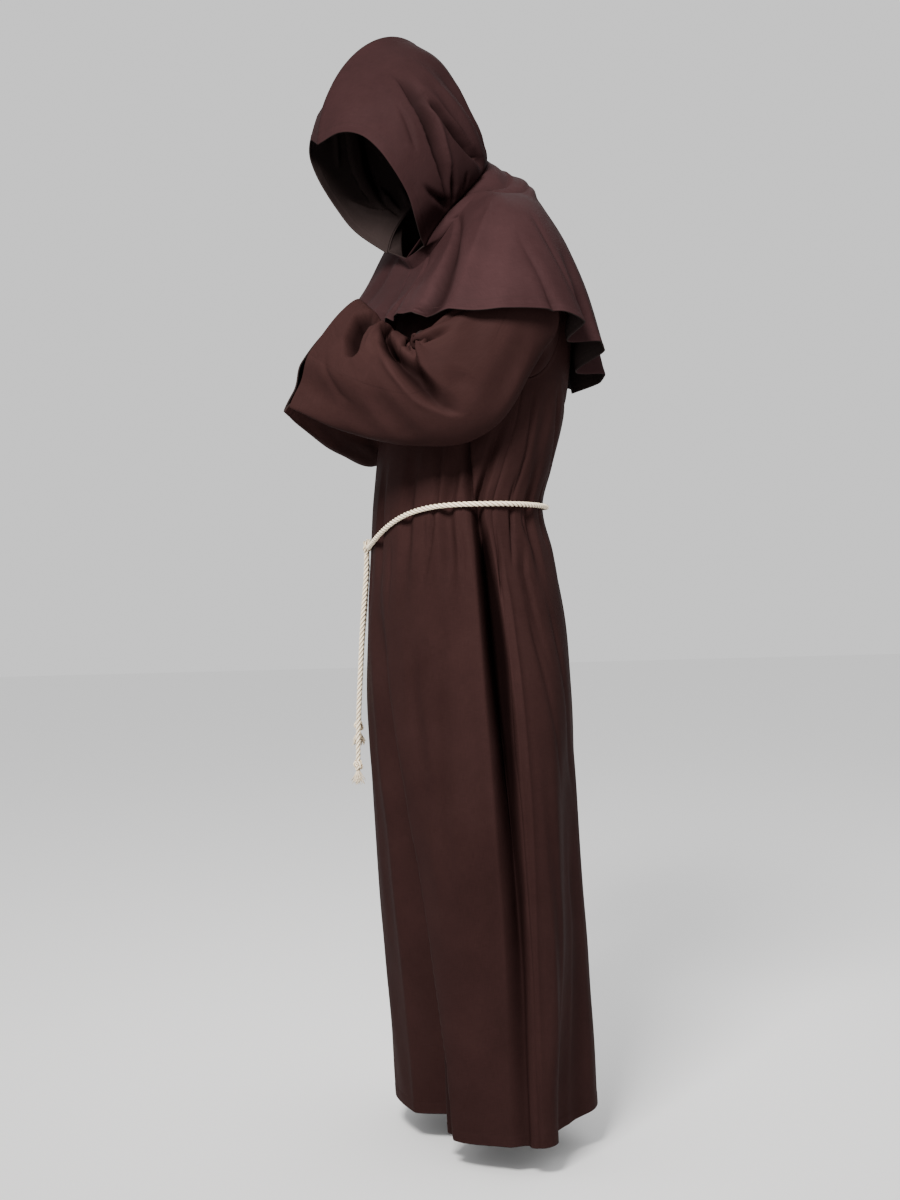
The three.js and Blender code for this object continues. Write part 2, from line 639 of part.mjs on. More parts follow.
// What joins the knot to the end of a rope: a straight piece, square to the rope, and a root.
const STUB_LENGTH = 5;
function stub(end, inward) {
  const face = end.clone().addScaledVector(inward, JOINT_GAP);
  const root = end.clone().addScaledVector(inward, STUB_LENGTH);
  return [rod(root, face, STUB_RADIUS, STUB_RADIUS, 10), rod(knot, root, STUB_RADIUS, STUB_RADIUS, 10)];
}

// Routes of the hanging ends, from the knot: how far down, to the left and to the back.
const ROPE_ENDS = [
  {
    name: "left",
    route: table(["drop", "left", "back"], [
      [14, -2, -1], [22, -2, -1], [36, -3, -1], [60, -4, -2], [100, -5, -5], [150, -6, -8],
      [200, -7, -10], [250, -8, -12], [300, -9, -13], [345, -9, -13],
    ]),
  },
  {
    name: "right",
    route: table(["drop", "left", "back"], [
      [14, -12, 3], [22, -12, 3], [36, -14, 4], [60, -19, 4], [100, -24, 3], [150, -28, 0],
      [200, -31, -2], [250, -33, -4], [285, -34, -5],
    ]),
  },
];
const ROPE_STEP = 20;
const TIP_STRANDS = 10;
const TIP_HEAD_RADIUS = 6;
const TIP_LENGTH = 30;

const stubs = [];
for (const { name, route } of ROPE_ENDS) {
  const line = route.map(({ drop, left, back }) =>
    knot.clone().add(new THREE.Vector3(left, back, -drop)),
  );
  const [start, finish] = [line[0], line[line.length - 1]];
  const length = start.z - finish.z;
  add("rope_end_" + name, ropeAlong(line, Math.round(length / ROPE_STEP)), cotton);
  stubs.push(...stub(start, down.clone().negate()));

  const head = finish.clone().addScaledVector(down, JOINT_GAP);
  const heart = head.clone().addScaledVector(down, TIP_HEAD_RADIUS);
  const pieces = [
    rod(heart, head, STUB_RADIUS, STUB_RADIUS, 10),
    new THREE.IcosahedronGeometry(TIP_HEAD_RADIUS, 1).translate(heart.x, heart.y, heart.z),
  ];
  for (let i = 0; i < TIP_STRANDS; i++) {
    const angle = i * 2.399963;
    const spread = 9 * Math.sqrt((i + 0.5) / TIP_STRANDS);
    const tip = new THREE.Vector3(
      heart.x + spread * Math.cos(angle),
      heart.y + spread * Math.sin(angle),
      heart.z - TIP_LENGTH + 4 * Math.cos(3 * angle),
    );
    pieces.push(rod(heart, tip, 2.2, 1, 4));
  }
  add("tassel_" + name, fused(pieces), cotton);
}

const facing = knot.clone().sub(girdlePoint(KNOT_AT, 0)).normalize();
const turnKnot = new THREE.Quaternion().setFromUnitVectors(new THREE.Vector3(0, 0, 1), facing);
const wraps = [
  [0, 0, 0],
  [1.2, 0.35, 0.6],
  [-1.1, 0.5, -0.5],
].map(([tiltX, tiltY, turn]) => {
  const ring = new THREE.TorusGeometry(KNOT_RADIUS - ROPE_RADIUS, ROPE_RADIUS + 0.4, 6, 12);
  ring.rotateZ(turn).rotateX(tiltX).rotateY(tiltY).applyQuaternion(turnKnot);
  return ring.translate(knot.x, knot.y, knot.z);
});
for (const [at, next] of [
  [girdleStart, girdleStart + 1],
  [girdleEnd - 360, girdleEnd - 361],
]) {
  const end = girdlePoint(at, ROPE_STAND_OFF);
  const inward = end.clone().sub(girdlePoint(next, ROPE_STAND_OFF)).normalize();
  stubs.push(...stub(end, inward));
}
const core = new THREE.IcosahedronGeometry(KNOT_RADIUS - 1, 1).translate(knot.x, knot.y, knot.z);
add("belt_knot", fused([core, ...wraps, ...stubs]), cotton);

export default habit;
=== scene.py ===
"""A friar's hooded habit with a rope girdle, in its worn form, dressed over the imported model.

Lengths in the tables and in the form classes are millimetres; heights in the tables are above
the floor. Meshes are written in metres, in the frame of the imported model.
"""

import logging
import math
from dataclasses import dataclass, field
from enum import Enum
from functools import partial
from typing import Callable, Iterable, Sequence, Union

import bpy
import numpy as np
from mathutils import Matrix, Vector


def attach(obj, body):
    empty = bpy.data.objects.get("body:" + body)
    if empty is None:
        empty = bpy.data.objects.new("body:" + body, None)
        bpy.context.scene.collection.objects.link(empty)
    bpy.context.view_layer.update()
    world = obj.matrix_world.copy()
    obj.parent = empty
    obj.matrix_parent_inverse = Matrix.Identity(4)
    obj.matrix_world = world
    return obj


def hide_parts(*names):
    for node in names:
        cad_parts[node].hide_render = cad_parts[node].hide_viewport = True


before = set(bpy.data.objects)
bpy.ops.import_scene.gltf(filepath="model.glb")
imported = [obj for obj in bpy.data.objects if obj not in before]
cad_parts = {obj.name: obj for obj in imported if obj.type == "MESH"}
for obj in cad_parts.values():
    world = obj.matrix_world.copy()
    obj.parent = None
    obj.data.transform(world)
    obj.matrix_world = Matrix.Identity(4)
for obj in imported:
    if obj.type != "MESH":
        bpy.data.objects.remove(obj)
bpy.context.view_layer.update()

LOG = logging.getLogger("habit")
Array = np.ndarray
Number = Union[float, Array]
MM = 0.001
BODY = "root"
CLOTH_SLOT = "habit_cloth"
ROPE_SLOT = "rope_cotton"

SHOULDER_HEIGHT = 1480.0
HEM_HEIGHT = 45.0
HEM_TILT = 10.0
HEM_TILT_AT = 215.0
HEM_TILT_TOP = 600.0
CLOTH_THICKNESS = 2.0
SEAM_GAP = 0.4
SEAM_LAP = 0.5
NECK_LAP = 1.6
LAP_STEEPNESS = 0.22
CREASE_SHARPNESS = 2.2
STEP_DEGREES = 0.5
STEP_HEIGHT = 2.0
STEP_SHARE = -0.004
NECK_CENTRE_Y = -81.0
HEAD_TURN = 12.0


class Side(Enum):
    """The wearer's side, with the sign of its X."""

    LEFT = 1
    RIGHT = -1


class Edge(Enum):
    """An edge of a panel's grid of points."""

    FIRST_ROW = "first row"
    LAST_ROW = "last row"
    FIRST_COLUMN = "first column"
    LAST_COLUMN = "last column"


class Profile(Enum):
    """How a fold's depth falls off from its line."""

    SOFT = "soft"
    CREASE = "crease"
    LAP = "lap"


# Small maths


def smooth(t: Number) -> Number:
    """Ease t from 0 to 1 with level ends."""
    return t * t * (3 - 2 * t)


def mix(a: Number, b: Number, t: Number) -> Number:
    """Value a share t of the way from a to b."""
    return a + (b - a) * t


def unit(vectors: Array) -> Array:
    """Vectors of length one."""
    length = np.linalg.norm(vectors, axis=-1, keepdims=True)
    return vectors / np.maximum(length, 1e-12)


def stacked(x: Number, y: Number, z: Number) -> Array:
    """Points from three arrays that broadcast together."""
    return np.stack(np.broadcast_arrays(x, y, z), axis=-1).astype(float)


def runs(*stretches: tuple[float, float, int]) -> Array:
    """Join stretches of evenly spaced values.

    Args:
        stretches: from, to and number of steps of each stretch, end to end.

    Returns:
        The values, with each joint once.
    """
    values = [stretches[0][0]]
    for start, end, count in stretches:
        values += [mix(start, end, (i + 1) / count) for i in range(count)]
    return np.array(values)


def normals_of(points: Array, goes_round: bool) -> Array:
    """Outward normals of a grid of points.

    Args:
        points: rows by columns by three.
        goes_round: whether the last column meets the first.

    Returns:
        Normals of length one, facing away from the grid's middle.
    """
    if goes_round:
        across = np.roll(points, -1, axis=1) - np.roll(points, 1, axis=1)
    else:
        across = np.gradient(points, axis=1)
    along = np.gradient(points, axis=0)
    normal = unit(np.cross(across, along))
    middle = points.reshape(-1, 3).mean(axis=0)
    outward = np.sign(np.sum(normal * (points - middle)))
    return normal * outward


def facing_of(
    surface: Callable[[Number, Number], Array],
    at: Number,
    up: Number,
    step_up: float,
) -> Array:
    """Outward normals of a surface from small steps on it.

    Args:
        surface: gives points for at and up.
        at: places round it.
        up: places along it.
        step_up: a small step along, with the sign that makes the normals face out.

    Returns:
        Normals of length one.
    """
    across = surface(at + STEP_DEGREES, up) - surface(at - STEP_DEGREES, up)
    along = surface(at, up + step_up) - surface(at, up - step_up)
    return unit(np.cross(across, along))


@dataclass(frozen=True)
class Table:
    """Rows of numbers under named columns; the first column is in rising order."""

    names: tuple[str, ...]
    rows: tuple[tuple[float, ...], ...]

    def values(self, name: str) -> Array:
        """Return one column."""
        return np.array([row[self.names.index(name)] for row in self.rows], dtype=float)

    def at(self, place: Number) -> "Reading":
        """Return a reader of all columns at one place."""
        return Reading(self, place)

    def curve(self, name: str, at: Number) -> Array:
        """Read a smooth curve through one column.

        Args:
            name: the column.
            at: where to read it, in the first column's units.

        Returns:
            The curve's values.
        """
        x, y = self.values(self.names[0]), self.values(name)
        last = len(x) - 1
        row = np.arange(last + 1)
        before, after = np.maximum(row - 1, 0), np.minimum(row + 1, last)
        slope = (y[after] - y[before]) / (x[after] - x[before])
        at = np.asarray(at, dtype=float)
        i = np.clip(np.searchsorted(x, at, side="right") - 1, 0, last - 1)
        step = x[i + 1] - x[i]
        t = np.clip((at - x[i]) / step, 0, 1)
        t2, t3 = t * t, t * t * t
        return (
            (2 * t3 - 3 * t2 + 1) * y[i]
            + (t3 - 2 * t2 + t) * step * slope[i]
            + (3 * t2 - 2 * t3) * y[i + 1]
            + (t3 - t2) * step * slope[i + 1]
        )


@dataclass(frozen=True)
class Reading:
    """A table read at one place."""

    table: Table
    place: Number

    def __call__(self, name: str) -> Array:
        """Return the curve of the named column at the place."""
        return self.table.curve(name, self.place)


def oval(value: Reading, c: Array, s: Array) -> tuple[Array, Array, Array]:
    """Read an oval ring of a garment.

    Args:
        value: the ring's sizes.
        c: cosine of the place round it.
        s: sine of that place, negative at the front.

    Returns:
        The ring's middle, its half depth and the height at the place.
    """
    middle = (value("belly") + value("spine")) / 2
    deep = (value("spine") - value("belly")) / 2
    end = np.where(s < 0, value("front"), value("back"))
    return middle, deep, value("side") * c * c + end * s * s


@dataclass(frozen=True)
class Fold:
    """One fold as a line of bends: where round, where up, half width and depth in mm."""

    bends: tuple[tuple[float, float, float, float], ...]
    profile: Profile = Profile.SOFT


def fold(*bends: tuple[float, float, float, float]) -> Fold:
    """Make a soft fold."""
    return Fold(tuple(bends))


def crease(*bends: tuple[float, float, float, float]) -> Fold:
    """Make a fold with a sharp line."""
    return Fold(tuple(bends), Profile.CREASE)


def lap(*bends: tuple[float, float, float, float]) -> Fold:
    """Make a fold that its cloth laps over: steep to the left of its line, gentle to the right."""
    return Fold(tuple(bends), Profile.LAP)


@dataclass(frozen=True)
class FoldSet:
    """The folds of one piece of cloth, and the scale of its two directions."""

    folds: tuple[Fold, ...]
    mm_across: float
    mm_along: float
    goes_round: bool

    def depth(self, at: Number, up: Number) -> Array:
        """Add up the folds' depths.

        Args:
            at: degrees or share round the piece.
            up: level, height or share along it.

        Returns:
            Depth in mm, inward positive.
        """
        at, up = np.broadcast_arrays(np.asarray(at, float), np.asarray(up, float))
        total = np.zeros(at.shape)
        for one in self.folds:
            deepest = np.zeros(at.shape)
            for a, b in zip(one.bends, one.bends[1:]):
                apart = at - a[0]
                if self.goes_round:
                    apart = apart - 360 * np.round(apart / 360)
                px, py = apart * self.mm_across, (up - a[1]) * self.mm_along
                sx, sy = (b[0] - a[0]) * self.mm_across, (b[1] - a[1]) * self.mm_along
                t = np.clip((px * sx + py * sy) / (sx * sx + sy * sy), 0, 1)
                wide = mix(a[2], b[2], t)
                if one.profile is Profile.LAP:
                    wide = np.where(sx * py - sy * px > 0, wide * LAP_STEEPNESS, wide)
                away = np.minimum(np.hypot(px - t * sx, py - t * sy) / wide, 1)
                sharp = one.profile is Profile.CREASE
                fall = (1 - away) ** CREASE_SHARPNESS if sharp else (1 - away * away) ** 2
                depth = mix(a[3], b[3], smooth(t)) * fall
                deepest = np.where(np.abs(depth) > np.abs(deepest), depth, deepest)
            total += deepest
        return total


# Forms of the cloth: the same named sizes as the solids have


@dataclass(frozen=True)
class RobeForm:
    """The robe's oval rings and folds, and the armhole's outline."""

    rings: Table = Table(
        ("level", "side", "front", "back", "half", "belly", "spine", "turn"),
        (
            (45, 54, 50, 66, 270, -136, 145, -10),
            (170, 172, 170, 176, 269, -146, 139, -9),
            (322, 322, 322, 322, 265, -161, 128, -6),
            (473, 473, 473, 473, 257, -176, 117, -4),
            (606, 606, 606, 606, 247, -190, 112, -3),
            (720, 720, 720, 720, 234, -196, 108, -3),
            (834, 834, 834, 834, 214, -195, 96, -3),
            (930, 930, 930, 930, 197, -191, 79, -3),
            (1000, 1000, 1000, 1000, 189, -188, 63, -3),
            (1060, 1060, 1060, 1060, 200, -181, 76, -2),
            (1130, 1130, 1130, 1130, 213, -172, 91, 0),
            (1190, 1190, 1188, 1190, 219, -164, 99, 0),
            (1270, 1270, 1250, 1275, 222, -151, 102, 0),
            (1360, 1360, 1312, 1350, 217, -134, 88, 0),
            (1425, 1424, 1362, 1412, 196, -116, 70, 0),
            (1490, 1458, 1402, 1454, 144, -100, 44, 0),
            (1555, 1485, 1430, 1488, 92, -88, 14, 0),
        ),
    )
    folds: FoldSet = FoldSet(
        (
            fold((-10, 1150, 24, 0), (-10, 1080, 22, 10), (-10, 1005, 20, 16), (-8, 900, 28, 32),
                 (-7, 700, 36, 38), (-7, 420, 36, 28), (-8, 200, 34, 14), (-9, 45, 34, 8)),
            fold((-171, 1150, 24, 0), (-170, 1005, 20, 14), (-172, 860, 30, 28),
                 (-173, 560, 38, 32), (-172, 250, 36, 20), (-171, 45, 34, 12)),
            fold((-93, 900, 40, 0), (-86, 760, 46, 10), (-79, 560, 54, 24), (-74, 320, 62, 44),
                 (-72, 140, 68, 60), (-72, 45, 70, 62)),
            fold((-44, 700, 90, 0), (-42, 400, 95, -8), (-44, 45, 100, -15)),
            fold((-118, 640, 90, 0), (-114, 330, 90, -6), (-112, 45, 95, -10)),
            fold((-34, 1130, 26, 0), (-31, 1030, 28, 12), (-31, 950, 28, 12), (-33, 820, 32, 0)),
            fold((-62, 1110, 26, 0), (-60, 1000, 26, 9), (-64, 800, 32, 0)),
            fold((-88, 1100, 26, 0), (-90, 960, 26, 9), (-90, 820, 32, 0)),
            fold((-142, 1140, 28, 0), (-143, 1000, 28, 13), (-146, 830, 34, 0)),
            fold((31, 1100, 24, 0), (30, 990, 22, 10), (31, 860, 28, 0)),
            fold((66, 1110, 28, 0), (64, 990, 26, 10), (62, 780, 36, 4), (60, 500, 42, 0)),
            fold((106, 1120, 28, 0), (104, 990, 26, 11), (108, 700, 40, 5), (112, 400, 48, 0)),
            fold((148, 1080, 26, 0), (148, 985, 24, 12), (146, 780, 36, 0)),
            fold((44, 800, 80, 0), (42, 400, 105, 22), (36, 45, 140, 54)),
            fold((92, 700, 60, 0), (94, 380, 64, 8), (94, 45, 70, 14)),
            fold((138, 800, 50, 0), (136, 420, 62, 16), (134, 45, 70, 28)),
        ),
        mm_across=4.1,
        mm_along=1.0,
        goes_round=True,
    )
    fine: FoldSet = FoldSet(
        (
            # The back panel laps over the deep side pleat.
            lap((-10, 1012, 38, 0), (-8.5, 978, 42, 12), (-4.5, 891, 50, 30), (-3, 807, 56, 40),
                (-2.5, 729, 58, 38), (-1.8, 633, 58, 26), (-3, 552, 56, 19), (-3.5, 423, 54, 14),
                (-6, 285, 50, 11), (-6.5, 198, 46, 9), (-7, 45, 44, 7)),
            fold((-5, 985, 11, 0), (-6, 940, 12, 14), (-6, 891, 12, 24), (-6, 807, 12, 28),
                 (-6, 729, 11, 24), (-5, 633, 10, 14), (-5.5, 552, 9, 6), (-6, 460, 8, 0)),
            crease((2, 960, 14, 0), (4, 870, 16, -3), (5, 760, 18, -4), (6, 560, 18, -3),
                   (3, 300, 18, -2.5), (2, 60, 18, -2)),
            # The pleat that comes down from the chest to the girdle.
            lap((-34, 1150, 22, 0), (-28, 1107, 26, 9), (-21, 1060, 28, 14), (-15, 1017, 24, 13),
                (-11, 985, 20, 0)),
            crease((-46, 1130, 18, 0), (-43, 1070, 18, 6), (-39, 1010, 15, 7), (-38, 985, 14, 0)),
            # The near leg's lobe laps over the far one.
            lap((-84, 840, 36, 0), (-76, 660, 44, 6), (-68, 480, 50, 10), (-61, 300, 54, 13),
                (-52, 160, 56, 15), (-50, 45, 56, 15)),
            # Short dark notches under the girdle.
            crease((-40, 1004, 12, 4), (-41, 975, 13, 8), (-45, 925, 16, 5), (-49, 870, 18, 0)),
            crease((15, 1004, 11, 4), (14, 980, 12, 9), (11, 945, 14, 5), (8, 905, 14, 0)),
            crease((24, 1000, 10, 3), (24, 978, 10, 6), (26, 940, 12, 0)),
            crease((2, 965, 14, 2), (1, 915, 14, 6), (-1, 865, 14, 4), (-2, 820, 12, 0)),
            lap((22, 960, 30, 0), (18, 905, 32, 5), (22, 820, 34, 4), (32, 720, 34, 0)),
            # Gathers under and over the girdle.
            crease((-22, 985, 16, 0), (-22, 940, 16, 4), (-24, 860, 20, 0)),
            crease((-46, 1005, 15, 0), (-47, 940, 15, 3.5), (-50, 850, 20, 0)),
            crease((-75, 960, 15, 0), (-76, 915, 15, 3.5), (-78, 800, 20, 0)),
            crease((-104, 950, 15, 0), (-105, 900, 15, 4), (-104, 790, 20, 0)),
            crease((-130, 960, 15, 0), (-131, 910, 15, 4), (-134, 800, 22, 0)),
            crease((-158, 1010, 15, 0), (-158, 960, 15, 4), (-160, 850, 22, 0)),
            crease((12, 1060, 14, 0), (13, 1012, 14, 4), (15, 930, 18, 0)),
            crease((46, 1070, 15, 0), (46, 1010, 15, 4), (47, 900, 20, 0)),
            crease((84, 1060, 16, 0), (85, 1000, 15, 4.5), (86, 880, 20, 0)),
            crease((126, 1070, 16, 0), (126, 1000, 15, 4.5), (124, 860, 20, 0)),
            crease((168, 1060, 15, 0), (168, 1000, 15, 4), (168, 900, 20, 0)),
            # Drag lines that fall from the girdle, and long soft breaks down the skirt.
            fold((-38, 900, 26, 0), (-40, 760, 30, 4), (-44, 520, 34, 4), (-40, 250, 36, 0)),
            fold((-58, 860, 24, 0), (-56, 700, 26, 4), (-50, 480, 30, 0)),
            fold((-24, 820, 20, 0), (-24, 620, 26, 3), (-22, 380, 30, 4), (-20, 120, 32, 0)),
            fold((-100, 820, 26, 0), (-98, 620, 30, 3), (-97, 380, 34, 2), (-96, 160, 34, 0)),
            fold((-140, 780, 26, 0), (-142, 560, 30, 4), (-140, 300, 34, 3), (-140, 60, 34, 2)),
            # Diagonal light breaks across the left back quarter.
            crease((14, 860, 22, 0), (20, 780, 24, 4.5), (30, 640, 26, 3), (34, 560, 26, 0)),
            crease((30, 900, 22, 0), (38, 790, 26, 4.5), (52, 620, 28, 3), (58, 540, 28, 0)),
            fold((16, 680, 22, 0), (20, 460, 28, 4.5), (22, 240, 30, 5), (22, 50, 30, 4)),
            fold((52, 560, 26, 0), (54, 400, 30, 6), (54, 180, 34, 7), (54, 50, 34, 6)),
            fold((76, 760, 28, 0), (78, 520, 32, 5), (78, 240, 36, 5), (78, 50, 36, 4)),
            fold((118, 780, 28, 0), (116, 520, 32, 5), (116, 240, 36, 6), (115, 50, 36, 5)),
            fold((160, 760, 26, 0), (160, 500, 30, 5), (161, 240, 34, 5), (162, 50, 34, 4)),
            # Blousing over the girdle, and the pull from the armholes.
            fold((20, 1190, 28, 0), (24, 1120, 30, 4), (28, 1060, 26, 2)),
            crease((33, 1205, 14, 0), (46, 1180, 18, 5), (62, 1150, 20, 4), (80, 1120, 20, 0)),
            crease((30, 1190, 14, 0), (38, 1140, 18, 6), (50, 1080, 20, 4), (56, 1030, 20, 0)),
            crease((8, 1185, 14, 0), (12, 1140, 16, 6), (16, 1080, 16, 4), (15, 1020, 14, 3)),
            crease((146, 1250, 22, 0), (124, 1160, 24, 3.2), (110, 1090, 24, 0)),
            fold((-20, 1180, 24, 0), (-24, 1110, 26, 4), (-28, 1040, 24, 0)),
            fold((-160, 1180, 24, 0), (-156, 1110, 26, 4), (-152, 1040, 24, 0)),
        ),
        mm_across=4.1,
        mm_along=1.0,
        goes_round=True,
    )
    armhole_middle: float = 1309.0
    armhole_half_height: float = 116.0
    armhole_half_degrees: float = 29.0

    def base(self, at: Number, level: Number) -> Array:
        """Points of the robe without its folds.

        Args:
            at: degrees round it, from the left seam by the back to the right one.
            level: the row's level, close to its height above the floor.

        Returns:
            Points in mm from the shoulder line.
        """
        at, level = np.asarray(at, float), np.asarray(level, float)
        value = self.rings.at(level)
        angle = np.radians(at) + np.radians(value("turn")) * np.cos(np.radians(at))
        c, s = np.cos(angle), np.sin(angle)
        middle, deep, height = oval(value, c, s)
        low = np.clip(1 - level / HEM_TILT_TOP, 0, 1)
        tilt = HEM_TILT * np.cos(np.radians(at + HEM_TILT_AT)) * low
        return stacked(value("half") * c, middle + deep * s, height + tilt - SHOULDER_HEIGHT)

    def armhole_reach(self, level: Number) -> Array:
        """Degrees from the side seam to the armhole's edge at a level."""
        t = (np.asarray(level, float) - self.armhole_middle) / self.armhole_half_height
        return self.armhole_half_degrees * np.sqrt(np.maximum(1 - t * t, 0))

    def deep(self, level: Number) -> Array:
        """Half the robe's depth from front to back at a level."""
        return (self.rings.curve("spine", level) - self.rings.curve("belly", level)) / 2


@dataclass(frozen=True)
class HoodForm:
    """A hood half: rows of cubic curves from the face edge round the head to the centre seam."""

    rows: Table = Table(
        (
            "level", "faceOut", "faceAhead", "faceUp", "cheekOut", "cheekAhead", "cheekUp",
            "napeOut", "napeAhead", "napeUp", "seamAhead", "seamUp", "lead",
        ),
        (
            (0, 60, 72, 1396, 88, 48, 1470, 92, -58, 1524, -58, 1548, 0),
            (0.13, 98, 108, 1431, 122, 60, 1482, 95, -60, 1545, -55, 1558, 0),
            (0.26, 114, 131, 1467, 140, 82, 1504, 104, -56, 1558, -50, 1570, 2),
            (0.4, 117, 159, 1505, 146, 98, 1532, 113, -47, 1582, -40, 1588, 2),
            (0.55, 107, 181, 1536, 143, 111, 1574, 118, -27, 1611, -24, 1611, 0),
            (0.7, 83, 197, 1556, 126, 138, 1622, 114, 7, 1656, -6, 1648, 0),
            (0.86, 46, 212, 1561, 86, 184, 1661, 84, 46, 1710, 20, 1685, 0),
            (1, 0, 224, 1548, 0, 224, 1658, 0, 124, 1750, 57, 1714, 0),
        ),
    )
    folds: FoldSet = FoldSet(
        (
            fold((0.5, 0.82, 20, 0), (0.55, 0.5, 22, 9), (0.6, 0.2, 20, 12), (0.62, 0.03, 14, 0)),
            fold((0.68, 0.9, 24, 0), (0.72, 0.55, 26, 12), (0.76, 0.25, 22, 14), (0.74, 0.04, 14, 0)),
        ),
        mm_across=330.0,
        mm_along=400.0,
        goes_round=False,
    )
    fine: FoldSet = FoldSet(
        (
            # The long hollow behind the cheek, steep on its front side.
            lap((0.25, 0.08, 16, 4), (0.275, 0.3, 26, 18), (0.295, 0.5, 30, 25), (0.33, 0.68, 34, 18),
                (0.4, 0.86, 30, 0)),
            crease((0.31, 0.14, 10, 0), (0.35, 0.34, 14, -5), (0.39, 0.58, 16, -5), (0.42, 0.74, 14, 0)),
            # The dark wedge under the back of the crown.
            fold((0.42, 0.68, 16, 4), (0.45, 0.58, 18, 16), (0.49, 0.45, 21, 25), (0.54, 0.33, 20, 22),
                 (0.58, 0.22, 16, 9)),
            crease((0.5, 0.62, 16, 0), (0.54, 0.48, 18, -5), (0.59, 0.34, 18, -5), (0.62, 0.22, 14, 0)),
            # Small creases above and below the cheek.
            crease((0.26, 0.74, 11, 0), (0.225, 0.61, 11, 4.5), (0.2, 0.52, 11, 4.5),
                   (0.18, 0.42, 11, 0)),
            crease((0.12, 0.28, 12, 0), (0.18, 0.165, 15, 10), (0.245, 0.07, 15, 13),
                   (0.265, 0.02, 12, 4)),
            crease((0.345, 0.27, 12, 2), (0.325, 0.13, 14, 13), (0.31, 0.05, 12, 6)),
            crease((0.45, 0.2, 12, 0), (0.42, 0.1, 13, 7), (0.39, 0.04, 12, 3)),
            fold((0.12, 0.9, 26, 0), (0.1, 0.72, 28, 4), (0.14, 0.56, 24, 0)),
            fold((0.2, 0.98, 24, 0), (0.22, 0.84, 26, 4), (0.17, 0.7, 24, 3), (0.12, 0.6, 20, 0)),
            fold((0.6, 0.94, 26, 0), (0.64, 0.72, 26, 4), (0.68, 0.5, 22, 0)),
            crease((0.8, 0.7, 22, 0), (0.84, 0.46, 20, 5), (0.85, 0.2, 16, 4), (0.84, 0.04, 12, 0)),
        ),
        mm_across=330.0,
        mm_along=400.0,
        goes_round=False,
    )

    def head_point(self, out: Number, ahead: Number, height: Number) -> Array:
        """Place a point that is given from the centre seam of the turned head.

        Args:
            out: mm to the wearer's left of the head's own middle.
            ahead: mm in front of the neck, the way the head looks.
            height: mm above the floor.

        Returns:
            The point in mm from the shoulder line.
        """
        c, s = math.cos(math.radians(HEAD_TURN)), math.sin(math.radians(HEAD_TURN))
        return stacked(
            np.asarray(out) * c + np.asarray(ahead) * s,
            NECK_CENTRE_Y + np.asarray(out) * s - np.asarray(ahead) * c,
            np.asarray(height) - SHOULDER_HEIGHT,
        )

    def base(self, side: Side, at: Number, level: Number) -> Array:
        """Points of a half of the hood without its folds.

        Args:
            side: which half.
            at: share of the way from the face edge to the centre seam.
            level: share of the way from the neck seam to the peak.

        Returns:
            Points in mm from the shoulder line.
        """
        at, level = np.broadcast_arrays(np.clip(at, 0, 1).astype(float), np.asarray(level, float))
        value = self.rows.at(level)
        lead = value("lead") if side is Side.RIGHT else 0.0
        zero = np.zeros(at.shape)
        corners = (
            (value("faceOut"), value("faceAhead") + lead, value("faceUp")),
            (value("cheekOut"), value("cheekAhead"), value("cheekUp")),
            (value("napeOut"), value("napeAhead"), value("napeUp")),
            (zero, value("seamAhead"), value("seamUp")),
        )
        weights = ((1 - at) ** 3, 3 * at * (1 - at) ** 2, 3 * at * at * (1 - at), at**3)
        out, ahead, up = (
            sum(weight * corner[k] for weight, corner in zip(weights, corners)) for k in range(3)
        )
        return self.head_point(side.value * (out - SEAM_LAP / 2), ahead, up)


